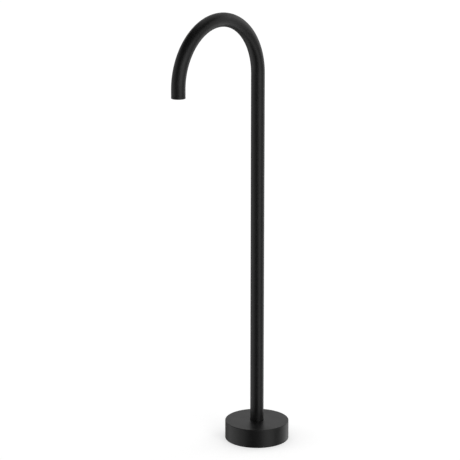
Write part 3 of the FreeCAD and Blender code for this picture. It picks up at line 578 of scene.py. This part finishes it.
up_outside = [
    (TUBE_R - SEAM_BEVEL, RISER_FOOT),
    (TUBE_R, RISER_FOOT + SEAM_BEVEL),
    (TUBE_R, GROOVE_FOOT),
    (GROOVE_R, GROOVE_FOOT),
    (GROOVE_R, GROOVE_TOP),
    (TUBE_R, GROOVE_TOP),
    (TUBE_R, BEND_START),
]
down_and_into_bore = [
    (TUBE_R, BEND_START),
    (TUBE_R, TUBE_END + SEAM_BEVEL),
    (TUBE_R - SEAM_BEVEL, TUBE_END),
    (TUBE_BORE_R, TUBE_END),
    (TUBE_BORE_R, BEND_START),
]
down_bore = [(TUBE_BORE_R, BEND_START), (TUBE_BORE_R, RISER_FOOT)]

tube = bmesh.new()
bmesh.ops.create_circle(
    tube,
    segments=TUBE_SIDES,
    radius=(TUBE_R - SEAM_BEVEL) * MM,
    matrix=Matrix.Translation((0, 0, RISER_FOOT * MM)),
)
foot_rim = list(tube.edges)
rim = draw_along(tube, foot_rim, up_outside)
rim = bend_over(tube, rim, HALF_TURN)
rim = draw_along(tube, rim, down_and_into_bore, SPOUT_Y)
rim = bend_over(tube, rim, -HALF_TURN)
rim = draw_along(tube, rim, down_bore)
bmesh.ops.bridge_loops(tube, edges=rim + foot_rim)
bmesh.ops.remove_doubles(tube, verts=tube.verts, dist=SAME_SPOT)
bmesh.ops.recalc_face_normals(tube, faces=tube.faces)
piece_from(tube, "bent_riser_tube", coat, "riser", "spout_tube")

# %% [markdown]
# ## The outlet collar
# A turned ring is brazed into the spout's end and carries the aerator's thread. Outside only a 6 mm
# band of it shows, flush with the tube. Its upper edge tapers in very slightly to the joint, so that
# a fine dark line shows there with a lighter one under it, and the mouth has a small round. The line
# could be painted on, but a real step catches the light from every side. Turning the ring as one
# outline and rounding its edges afterwards gives both.

# %% Outlet collar
COLLAR_BORE_R, COLLAR_SEAT_R, COLLAR_SEAT_THICKNESS, BRAZING_GAP = 11.55, 9.8, 3.5, 0.05
COLLAR_SPIGOT_R, COLLAR_SEAT = TUBE_BORE_R - BRAZING_GAP, COLLAR_TOP - COLLAR_SEAT_THICKNESS
COLLAR_ROUND, COLLAR_TAPER, TAPER_DEPTH = 0.8, 1.2, 0.3
TURNED_STEPS, ROUND_STEPS = 96, 6
spout_axis = (0.0, SPOUT_Y)

collar_outline = [
    (COLLAR_BORE_R, MOUTH_HEIGHT),
    (TUBE_R, MOUTH_HEIGHT),
    (TUBE_R, TUBE_END - COLLAR_TAPER),
    (TUBE_R - TAPER_DEPTH, TUBE_END),
    (COLLAR_SPIGOT_R, TUBE_END),
    (COLLAR_SPIGOT_R, COLLAR_TOP),
    (COLLAR_SEAT_R, COLLAR_TOP),
    (COLLAR_SEAT_R, COLLAR_SEAT),
    (COLLAR_BORE_R, COLLAR_SEAT),
]
collar = turned(collar_outline, TURNED_STEPS, spout_axis)
rounded(collar, ring_at(collar, TUBE_R, MOUTH_HEIGHT, spout_axis), COLLAR_ROUND, ROUND_STEPS)
rounded(collar, ring_at(collar, COLLAR_BORE_R, MOUTH_HEIGHT, spout_axis), SEAM_BEVEL)
piece_from(collar, "outlet_collar_ring", coat, "riser", "outlet_collar")

# %% [markdown]
# ## The drum cover
# The drum is turned from a deep drawn cup: a thin wall, a flat top with a small round at its edge
# where the coating catches the light, and inside a boss that holds the seal. It only rests on the
# floor, so it can be pushed up the riser to reach the screws under it. A closed cylinder would look
# the same at rest, but the wall and the boss show once it is lifted or seen from below.

# %% Drum cover
COVER_R, COVER_FOOT, COVER_HEIGHT = size_of("cover_shell")
COVER_WALL, COVER_TOP_THICKNESS = 1.8, 2.2
COVER_GAP, SEAL_ROOM, COVER_BOSS_WALL, COVER_BOSS_LENGTH = 0.4, 3.0, 4.0, 6.4
COVER_BORE_R, COVER_UNDERSIDE = COVER_R - COVER_WALL, COVER_HEIGHT - COVER_TOP_THICKNESS
COVER_HOLE_R, COVER_POCKET_R = TUBE_R + COVER_GAP, TUBE_R + SEAL_ROOM
COVER_BOSS_R, COVER_BOSS_FOOT = COVER_POCKET_R + COVER_BOSS_WALL, COVER_UNDERSIDE - COVER_BOSS_LENGTH
COVER_ROUND, COVER_INNER_ROUND, COVER_RIM_BEVEL = 1.4, 2.0, 0.5
COVER_STEPS, INNER_ROUND_STEPS = 192, 4

cover_outline = [
    (COVER_HOLE_R, COVER_HEIGHT),
    (COVER_R, COVER_HEIGHT),
    (COVER_R, COVER_FOOT),
    (COVER_BORE_R, COVER_FOOT),
    (COVER_BORE_R, COVER_UNDERSIDE),
    (COVER_BOSS_R, COVER_UNDERSIDE),
    (COVER_BOSS_R, COVER_BOSS_FOOT),
    (COVER_POCKET_R, COVER_BOSS_FOOT),
    (COVER_POCKET_R, COVER_UNDERSIDE),
    (COVER_HOLE_R, COVER_UNDERSIDE),
]
cover = turned(cover_outline, COVER_STEPS)
rounded(cover, ring_at(cover, COVER_R, COVER_HEIGHT), COVER_ROUND, ROUND_STEPS)
for radius in (COVER_BORE_R, COVER_BOSS_R):
    rounded(cover, ring_at(cover, radius, COVER_UNDERSIDE), COVER_INNER_ROUND, INNER_ROUND_STEPS)
rounded(cover, ring_at(cover, COVER_R, COVER_FOOT), COVER_RIM_BEVEL)
rounded(cover, ring_at(cover, COVER_HOLE_R, COVER_HEIGHT), COVER_RIM_BEVEL)
piece_from(cover, "drum_cover", coat, "cover", "cover_shell")

# %% [markdown]
# ## Threads, keys and copies
# A real thread climbs in one helix. Seen from outside it can't be told from rings a pitch apart, and
# rings come straight from the lathe's outline, so that is how threads are drawn here. A hexagon
# recess is cold pressed into a round hole on the real screw, and the helper does the same: it moves
# the round wall out onto six flats. Screws stand in circles, so one is made and copied round.

# %% Threads, keys and copies
SCREW_STEPS = 72
DRILL_POINT = 0.4
HEXAGON_TURN = math.radians(60)


def thread(radius, foot, top, pitch, depth):
    """An outline's points for a thread of rings. A depth below 0 cuts outwards, as in a hole."""
    turns = int((top - foot) / pitch)
    return [(radius - depth * (half % 2), foot + half * pitch / 2) for half in range(2 * turns + 1)]


def press(vert, x, y, times, centre):
    """Moves a vertex at x and y from the axis at centre to times its distance from it, in mm."""
    vert.co.x = (centre[0] + x * times) * MM
    vert.co.y = (centre[1] + y * times) * MM


def press_hexagon(shape, flats, foot, top, centre=(0.0, 0.0)):
    """Presses a round recess as wide as flats, from foot to top, out to a hexagon."""
    wall = on_wall(shape, flats / 2, foot, top, centre)
    for vert, x, y in wall:
        off_flat = math.atan2(y, x) % HEXAGON_TURN - HEXAGON_TURN / 2
        press(vert, x, y, 1 / math.cos(off_flat), centre)
    print("vertices pressed to the hexagon:", len(wall))


def copies_round(shape, count):
    """Repeats the whole mesh round the riser's axis."""
    first = list(shape.verts) + list(shape.edges) + list(shape.faces)
    for number in range(1, count):
        made = bmesh.ops.duplicate(shape, geom=first)["geom"]
        turn = Matrix.Rotation(FULL_TURN * number / count, 3, "Z")
        bmesh.ops.rotate(shape, verts=only(bmesh.types.BMVert, made), matrix=turn)


# %% [markdown]
# ## Screws of the socket
# Four M5 cap screws hold the socket's flange down. Such a screw is cold headed, so its head is round
# with a soft upper edge, and its side is knurled with about 36 ridges to grip. The knurl could be a
# bump, but its ridges show on the head's outline, so every second vertex of the side is pressed in.

# %% Cap screws
FLANGE_THICKNESS = 5.0
FLANGE_FOOT = size_of("base_plate")[2]
FLANGE_TOP = FLANGE_FOOT + FLANGE_THICKNESS
SHANK_TIP, HEAD_TOP = size_of("socket_screws")[1:]
SCREW_CIRCLE_R, SHANK_R, TIP_BEVEL = 35.0, 2.5, 0.8
CAP_THREAD = (4.2, 12.2, 0.8, 0.4)  # foot, top, pitch and depth
HEAD_R, HEAD_BEVEL = 4.25, 0.5
KNURL_FOOT, KNURL_TOP, KNURL_DEPTH = 13.8, 17.0, 0.2
CAP_KEY, CAP_KEY_DEPTH = 4.0, 2.6
CAP_COUNT = 4

cap_outline = [(0, SHANK_TIP), (SHANK_R - TIP_BEVEL, SHANK_TIP), (SHANK_R, SHANK_TIP + TIP_BEVEL)]
cap_outline += thread(SHANK_R, *CAP_THREAD)
cap_outline += [
    (SHANK_R, FLANGE_TOP),
    (HEAD_R - KNURL_DEPTH, FLANGE_TOP),
    (HEAD_R, FLANGE_TOP + KNURL_DEPTH),
    (HEAD_R, KNURL_FOOT),
    (HEAD_R, KNURL_TOP),
    (HEAD_R, HEAD_TOP - HEAD_BEVEL),
    (HEAD_R - HEAD_BEVEL, HEAD_TOP),
    (CAP_KEY / 2, HEAD_TOP),
    (CAP_KEY / 2, HEAD_TOP - CAP_KEY_DEPTH),
    (0, HEAD_TOP - CAP_KEY_DEPTH - DRILL_POINT),
]
cap_centre = (SCREW_CIRCLE_R, 0.0)
cap = turned(cap_outline, SCREW_STEPS, cap_centre)
for vert, x, y in on_wall(cap, HEAD_R, KNURL_FOOT, KNURL_TOP, cap_centre):
    step = round(math.atan2(y, x) / FULL_TURN * SCREW_STEPS)
    if step % 2:
        press(vert, x, y, 1 - KNURL_DEPTH / HEAD_R, cap_centre)
press_hexagon(cap, CAP_KEY, HEAD_TOP - CAP_KEY_DEPTH, HEAD_TOP, cap_centre)
copies_round(cap, CAP_COUNT)
piece_from(cap, "socket_cap_screws", stainless, "base", "socket_screws")

# %% [markdown]
# ## Grub screws
# Three M6 grub screws sit in the socket's wall and press soft pads against the riser. The lathe
# helper could be taught to turn round any axis, but it stays simpler this way: they are turned
# upright like everything else, with a bevelled tip, a thread and a hexagon recess, and then laid
# down to point at the riser.

# %% Grub screws
BOSS_R = 26.0
GRIP_HEIGHT = 24.25
GRUB_START, GRUB_R, GRUB_BEVEL = 18.48, 3.0, 0.7
GRUB_THREAD = (19.4, 25.0, 1.0, 0.45)  # foot, top, pitch and depth
GRUB_KEY, GRUB_KEY_DEPTH = 3.0, 3.5
GRUB_COUNT = 3


def laid_down(shape):
    """Lays an upright shape down along Y, at the height where the pads grip."""
    bmesh.ops.rotate(shape, verts=shape.verts, matrix=Matrix.Rotation(-QUARTER_TURN, 3, "X"))
    bmesh.ops.translate(shape, verts=shape.verts, vec=(0, 0, GRIP_HEIGHT * MM))


grub_outline = [(0, GRUB_START), (GRUB_R - GRUB_BEVEL, GRUB_START), (GRUB_R, GRUB_START + GRUB_BEVEL)]
grub_outline += thread(GRUB_R, *GRUB_THREAD)
grub_outline += [
    (GRUB_R, BOSS_R - GRUB_BEVEL),
    (GRUB_R - GRUB_BEVEL, BOSS_R),
    (GRUB_KEY / 2, BOSS_R),
    (GRUB_KEY / 2, BOSS_R - GRUB_KEY_DEPTH),
    (0, BOSS_R - GRUB_KEY_DEPTH - DRILL_POINT),
]
grub = turned(grub_outline, SCREW_STEPS)
press_hexagon(grub, GRUB_KEY, BOSS_R - GRUB_KEY_DEPTH, BOSS_R)
laid_down(grub)
copies_round(grub, GRUB_COUNT)
piece_from(grub, "riser_grub_screws", stainless, "base", "lock_screws")

# %% [markdown]
# ## Turning the socket
# The socket is turned from one brass bar: the inlet with its half inch pipe thread at the bottom, an
# undercut for the washer, the flange, the boss that carries the riser and, standing inside it, the
# nipple with its two seal grooves. It could be built up from rings and joined, but one outline on
# the lathe gives all of it in one mesh, thread included, as the bar does.

# %% Turning the socket
FLANGE_R, SOCKET_FOOT, SOCKET_TOP = size_of("socket_body")
CAVITY_R, CAVITY_FLOOR = 17.63, 15.0
INLET_R, INLET_BOSS_R, INLET_TOP = 9.32, 16.92, 11.0
UNDERCUT_R, UNDERCUT_TOP = 10.52, 13.5
PIPE_THREAD = (1.0, 10.5, 1.814, -1.16)  # foot, top, pitch and depth
NIPPLE_R, NIPPLE_BORE_R, NIPPLE_TOP = 11.37, 6.85, 30.35
SEAL_GROOVE_R, SEAL_GROOVE_HALF, SEAL_HEIGHTS = 9.05, 1.5, (27.25, 21.25)
SOCKET_BEVEL, ROOT_ROUND = 0.8, 2.0

socket_outline = [(INLET_R + SOCKET_BEVEL, SOCKET_FOOT), (INLET_R, SOCKET_FOOT + SOCKET_BEVEL)]
socket_outline += thread(INLET_R, *PIPE_THREAD)
socket_outline += [
    (INLET_R, INLET_TOP),
    (UNDERCUT_R, INLET_TOP),
    (UNDERCUT_R, UNDERCUT_TOP),
    (NIPPLE_BORE_R, UNDERCUT_TOP),
    (NIPPLE_BORE_R, NIPPLE_TOP),
    (NIPPLE_R, NIPPLE_TOP),
]
for height in SEAL_HEIGHTS:
    socket_outline += [
        (NIPPLE_R, height + SEAL_GROOVE_HALF),
        (SEAL_GROOVE_R, height + SEAL_GROOVE_HALF),
        (SEAL_GROOVE_R, height - SEAL_GROOVE_HALF),
        (NIPPLE_R, height - SEAL_GROOVE_HALF),
    ]
socket_outline += [
    (NIPPLE_R, CAVITY_FLOOR),
    (CAVITY_R, CAVITY_FLOOR),
    (CAVITY_R, SOCKET_TOP),
    (BOSS_R, SOCKET_TOP),
    (BOSS_R, FLANGE_TOP),
    (FLANGE_R, FLANGE_TOP),
    (FLANGE_R, FLANGE_FOOT),
    (INLET_BOSS_R, FLANGE_FOOT),
    (INLET_BOSS_R, SOCKET_FOOT),
]
socket = turned(socket_outline, TURNED_STEPS)
for radius, height in ((BOSS_R, SOCKET_TOP), (FLANGE_R, FLANGE_TOP), (NIPPLE_R, NIPPLE_TOP)):
    rounded(socket, ring_at(socket, radius, height), SOCKET_BEVEL)
rounded(socket, ring_at(socket, BOSS_R, FLANGE_TOP), ROOT_ROUND, ROUND_STEPS)
print("socket with its bevels and round:", len(socket.faces), "faces")

# %% [markdown]
# ## Drilling the socket
# Seven screw holes don't run round the lathe's axis, so on the real socket they are drilled after
# the turning. Edges could be cut into the flange by hand, but a Boolean does what a drill does: each
# drill is a turned shape of its own, wider where it countersinks the face, and it is taken away from
# the socket. It can leave faces too thin to see, and merging close vertices takes those out.

# %% Drilling the socket
SCREW_HOLE_R, GRUB_HOLE_R, COUNTERSINK, PAST_FACE = 2.75, 3.05, 0.4, 1.0
DRILL_STEPS = 48
SLIVER = 1e-6  # metres


def drill(radius, start, face):
    """A drill's bmesh, upright, from start to just past a face that it countersinks."""
    wide = radius + COUNTERSINK
    point = [(0, start), (radius, start), (radius, face - COUNTERSINK)]
    return turned(point + [(wide, face), (wide, face + PAST_FACE), (0, face + PAST_FACE)], DRILL_STEPS)


def loose_object(shape):
    """A short lived object for a bmesh."""
    mesh = bpy.data.meshes.new("blank")
    shape.to_mesh(mesh)
    shape.free()
    blank = bpy.data.objects.new("blank", mesh)
    bpy.context.scene.collection.objects.link(blank)
    return blank


def drilled(shape, *drills):
    """The bmesh with each drill's bmesh taken away from it."""
    blank, *cutters = [loose_object(item) for item in (shape, *drills)]
    for cutter in cutters:
        hole = blank.modifiers.new("hole", "BOOLEAN")
        hole.object = cutter
        hole.solver = "EXACT"
    result = bmesh.new()
    result.from_mesh(blank.evaluated_get(bpy.context.evaluated_depsgraph_get()).to_mesh())
    bmesh.ops.remove_doubles(result, verts=result.verts, dist=SLIVER)
    for item in (blank, *cutters):
        bpy.data.meshes.remove(item.data)
    return result


screw_holes = drill(SCREW_HOLE_R, FLANGE_FOOT - PAST_FACE, FLANGE_TOP)
bmesh.ops.translate(screw_holes, verts=screw_holes.verts, vec=(SCREW_CIRCLE_R * MM, 0, 0))
copies_round(screw_holes, CAP_COUNT)
grub_holes = drill(GRUB_HOLE_R, TUBE_R, BOSS_R)
laid_down(grub_holes)
copies_round(grub_holes, GRUB_COUNT)
socket = drilled(socket, screw_holes, grub_holes)
piece_from(socket, "turned_socket", brass, "base", "socket_body")

# %% [markdown]
# ## Pieces that keep their construction shape
# Plate, bushes, seals and the aerator already have their full shape in the frame: bolt holes,
# bevels, key notches, the honeycomb. Modelling them again would add nothing, so they only get their
# finish. Their meshes are loose triangles, and three modifiers make them shade well without touching
# them: Weld joins the triangles, Edge Split parts them again only where an edge is sharp, and
# Weighted Normal keeps the flat faces flat.

# %% Finishes of the carried pieces
WELD_REACH = 1e-6  # metres
KEPT = {
    "base_gasket": gasket_rubber,
    "base_plate": zinc,
    "lock_pads": acetal,
    "lower_bush": acetal,
    "upper_bush": acetal,
    "lower_nipple_seal": seal_rubber,
    "upper_nipple_seal": seal_rubber,
    "inlet_washer": seal_rubber,
    "inlet_strainer": stainless,
    "riser_sleeve": brass,
    "aerator_seal": seal_rubber,
    "aerator_housing": black_acetal,
    "aerator_grille": grey_acetal,
    "aerator_strainer": grey_acetal,
    "cover_ring": black_acetal,
    "cover_seal": seal_rubber,
}

for node, finish in KEPT.items():
    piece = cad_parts[node]
    for slot in piece.material_slots:
        slot.material = finish
    if not piece.material_slots:
        piece.data.materials.append(finish)
    piece.data.shade_smooth()
    piece.modifiers.new("weld", "WELD").merge_threshold = WELD_REACH
    split = piece.modifiers.new("sharp edges", "EDGE_SPLIT")
    split.split_angle = SHARP
    split.use_edge_sharp = False
    piece.modifiers.new("even normals", "WEIGHTED_NORMAL").keep_sharp = True
print("kept from the frame:", len(KEPT), "pieces")

# %% [markdown]
# ## The floor
# The photograph is a plain studio picture, the object on white. A curved backdrop could join floor
# and wall, but from this height only the floor is behind the object, so one wide sheet is enough. It
# lies a tenth of a millimetre low, because two faces in one plane flicker.

# %% Floor
FLOOR_HALF = 12.0
FLOOR_DROP = 0.1 * MM

floor_mesh = bpy.data.meshes.new("floor")
sheet = bmesh.new()
drop = Matrix.Translation((0, 0, -FLOOR_DROP))
bmesh.ops.create_grid(sheet, x_segments=1, y_segments=1, size=FLOOR_HALF, matrix=drop)
sheet.to_mesh(floor_mesh)
sheet.free()
floor = bpy.data.objects.new("floor", floor_mesh)
bpy.context.scene.collection.objects.link(floor)
floor.visible_glossy = False
print("floor:", 2 * FLOOR_HALF, "m wide")

# %% [markdown]
# ## The floor's paint
# The floor is pale and matt and keeps the object's shadow. To meet the white behind it without a
# horizon it could be lit harder, but that would bleach the object too. Instead it glows a little for
# the camera alone, more where the lamps are far. Seen from below it lets the view through, so that
# the underside can be looked at.

# %% The floor's paint
NEAR, FAR = 1.0, 5.0  # metres from the riser
GLOW_NEAR, GLOW_FAR = 0.47, 0.65

floor_paint = bpy.data.materials.new("matt_white_studio_floor")
floor_paint.use_nodes = True
tree = floor_paint.node_tree
tree.nodes.clear()
rays = add_node(tree, "ShaderNodeLightPath").outputs
paint = add_node(tree, "ShaderNodeBsdfDiffuse", {"Color": linear("#dcdcdc")}).outputs["BSDF"]
place = add_node(tree, "ShaderNodeTexCoord").outputs["Object"]
away = add_node(tree, "ShaderNodeVectorMath", {0: place}, operation="LENGTH").outputs["Value"]
reach = {"Value": away, "From Min": NEAR, "From Max": FAR, "To Min": GLOW_NEAR, "To Max": GLOW_FAR}
level = add_node(tree, "ShaderNodeMapRange", reach).outputs["Result"]
for_camera = {0: rays["Is Camera Ray"], 1: level}
strength = add_node(tree, "ShaderNodeMath", for_camera, operation="MULTIPLY").outputs["Value"]
white = {"Color": linear("#ffffff"), "Strength": strength}
glow = add_node(tree, "ShaderNodeEmission", white).outputs["Emission"]
lit = add_node(tree, "ShaderNodeAddShader", {0: paint, 1: glow}).outputs["Shader"]
clear = add_node(tree, "ShaderNodeBsdfTransparent").outputs["BSDF"]
under = add_node(tree, "ShaderNodeNewGeometry").outputs["Backfacing"]
sides = add_node(tree, "ShaderNodeMixShader", {0: under, 1: lit, 2: clear}).outputs["Shader"]
add_node(tree, "ShaderNodeOutputMaterial", {"Surface": sides})
floor_mesh.materials.append(floor_paint)
print("floor's glow from", GLOW_NEAR, "to", GLOW_FAR)

# %% [markdown]
# ## White background and even room light
# The world has two jobs. Seen straight, in a reflection or through glass it is the white backdrop,
# at strength 1. For everything else it is the soft light that the room's pale walls send back. One
# strength for both would either grey the background or flood the object, so Light Path tells the
# two kinds of ray apart.

# %% World
ROOM_LIGHT, BACKDROP = 0.55, 1.0

world = bpy.data.worlds.new("studio")
bpy.context.scene.world = world
world.use_nodes = True
tree = world.node_tree
tree.nodes.clear()
rays = add_node(tree, "ShaderNodeLightPath").outputs
seen = rays["Is Camera Ray"]
for kind in ("Is Glossy Ray", "Is Transmission Ray"):
    either = {0: seen, 1: rays[kind]}
    seen = add_node(tree, "ShaderNodeMath", either, operation="MAXIMUM").outputs["Value"]
light = {"Color": linear("#ffffff"), "Strength": ROOM_LIGHT}
room = add_node(tree, "ShaderNodeBackground", light).outputs["Background"]
light = {"Color": linear("#ffffff"), "Strength": BACKDROP}
backdrop = add_node(tree, "ShaderNodeBackground", light).outputs["Background"]
both = add_node(tree, "ShaderNodeMixShader", {0: seen, 1: room, 2: backdrop}).outputs["Shader"]
add_node(tree, "ShaderNodeOutputWorld", {"Surface": both})
world.cycles.sampling_method = "NONE"
print("room light", ROOM_LIGHT, "backdrop", BACKDROP)

# %% [markdown]
# ## Soft boxes
# The photograph's light is tall and soft, from the right of the camera. Each lamp is a rectangle of
# light that points at the riser's middle, given by how far round from the camera it stands. They
# light the floor and the pale pieces, and are hidden from gloss: what the satin finish shows of the
# room comes from the white backdrop and from the cards of the next step, which are easier to shape.

# %% Lamps
AIM = Vector((0, 0, 0.45))


def soft_box(name, azimuth, distance, height, size, power):
    """A rectangular area lamp on a stand, pointed at the riser's middle."""
    data = bpy.data.lights.new(name, "AREA")
    data.shape = "RECTANGLE"
    data.size, data.size_y = size
    data.energy = power
    lamp = bpy.data.objects.new(name, data)
    bpy.context.scene.collection.objects.link(lamp)
    lamp.location = round_riser(azimuth, distance, height)
    lamp.rotation_euler = (AIM - lamp.location).to_track_quat("-Z", "Y").to_euler()
    lamp.visible_glossy = False
    print("lamp:", name, power, "W")


LAMPS = [
    # name, degrees round from the camera, distance, height and size in metres, and watts
    ("main_soft_box", 39, 2.6, 1.6, (1.1, 1.9), 14),
    ("side_soft_box", 123, 2.8, 1.6, (1.0, 1.9), 10),
    ("left_fill", -95, 3.2, 1.4, (1.8, 1.6), 10),
    ("top_fill", 180, 1.2, 3.0, (2.2, 2.2), 12),
]
for lamp in LAMPS:
    soft_box(*lamp)

# %% [markdown]
# ## Cards round the camera
# Gloss on black shows only what it reflects, so photographers shape it with cards. Grey ones dim
# parts of the white room, and black ones beside and above the camera give the riser its dark band
# and keep the drum's top from glaring. Painting those bands on the riser would look right from one
# side only. Each card is a patch of a large ball round the object: an upright arc, spun round it.

# %% A card's sheet
CARD_BALL_R = 7.0
CARD_STEP = math.radians(6)
CARD_SEAM = 1e-5  # metres


def card_sheet(name, azimuths, elevations):
    """The mesh of a card, from one azimuth and elevation to another, in degrees."""
    start, end = (math.radians(a) for a in azimuths)
    foot, top = (math.radians(e) for e in elevations)
    rows = max(2, round((top - foot) / CARD_STEP))
    shape = bmesh.new()
    column = []
    for row in range(rows + 1):
        rise = foot + (top - foot) * row / rows
        spot = round_riser(azimuths[0], CARD_BALL_R * math.cos(rise), CARD_BALL_R * math.sin(rise))
        column.append(shape.verts.new(spot + AIM))
    edges = [shape.edges.new(pair) for pair in zip(column, column[1:])]
    bmesh.ops.spin(
        shape,
        geom=column + edges,
        cent=AIM,
        axis=(0, 0, 1),
        angle=end - start,
        steps=max(2, round((end - start) / CARD_STEP)),
    )
    bmesh.ops.remove_doubles(shape, verts=shape.verts, dist=CARD_SEAM)
    mesh = bpy.data.meshes.new(name)
    shape.to_mesh(mesh)
    shape.free()
    return mesh


print("a full ring of cards is", round(FULL_TURN / CARD_STEP), "steps round")

# %% [markdown]
# ## A card's paper
# The cards could be lit by the lamps, as in a studio, but then each lamp that moves would change
# them. So the paper glows by itself at a plain grey level, and the card is hidden from every ray but
# a reflected one: it casts no shadow and lights nothing.

# %% A card's paper
HIDDEN_FROM = ("camera", "diffuse", "transmission", "volume_scatter", "shadow")


def hang_card(name, azimuths, elevations, level):
    """Hangs a card of a plain grey level between its azimuths and elevations, in degrees."""
    mesh = card_sheet(name, azimuths, elevations)
    paper = bpy.data.materials.new(name + "_paper")
    paper.use_nodes = True
    paper.cycles.emission_sampling = "NONE"
    tree = paper.node_tree
    tree.nodes.clear()
    grey = add_node(tree, "ShaderNodeEmission", {"Color": linear("#ffffff"), "Strength": level})
    add_node(tree, "ShaderNodeOutputMaterial", {"Surface": grey.outputs["Emission"]})
    mesh.materials.append(paper)
    hung = bpy.data.objects.new(name, mesh)
    bpy.context.scene.collection.objects.link(hung)
    for ray in HIDDEN_FROM:
        setattr(hung, "visible_" + ray, False)


print("cards are hidden from:", *HIDDEN_FROM)

# %% [markdown]
# ## Hanging the cards
# Each line is one card: where it hangs from left to right of the camera, from low to high, and how
# light it is. The list was found by comparing the bands on the riser and the drum with those in the
# photograph, one side after the other, and it covers the sides and the back as well, so that the
# object looks lit from everywhere.

# %% Hanging the cards
WALL, CEILING, LOW = (-9, 36), (36, 90), (-90, -9)
CARDS = [
    # name, azimuths and elevations in degrees, and grey level
    ("black_ceiling", (-150, 114), CEILING, 0.0),
    ("grey_ceiling_behind", (114, 210), CEILING, 0.5),
    ("grey_wall_left", (-108, -60), WALL, 0.48),
    ("black_card_left_of_camera", (-60, -12), WALL, 0.06),
    ("grey_card_over_camera", (-12, 12), WALL, 0.4),
    ("lit_diffuser", (12, 54), WALL, 1.26),
    ("grey_card_beside_diffuser", (54, 72), WALL, 0.58),
    ("dark_card_right", (72, 108), WALL, 0.33),
    ("grey_wall_behind", (144, 252), WALL, 0.6),
    ("pale_card_low_left", (-126, -66), LOW, 0.74),
    ("grey_card_low_left", (-66, -36), LOW, 0.5),
    ("black_card_under_camera", (-36, 24), LOW, 0.0),
    ("grey_card_under_diffuser", (24, 66), LOW, 0.74),
    ("black_card_low_right", (66, 90), LOW, 0.08),
    ("grey_card_low_right", (90, 114), LOW, 0.6),
    ("dark_card_low_behind", (156, 234), LOW, 0.2),
]
for card in CARDS:
    hang_card(*card)
print("cards:", len(CARDS))

# %% [markdown]
# ## Colour management
# Blender's usual view softens bright light like film, which would grey the white background and
# lift the black. The Standard view shows each colour as it is written.

# %% Colour management
view = bpy.context.scene.view_settings
view.view_transform = "Standard"
print("view:", view.view_transform)
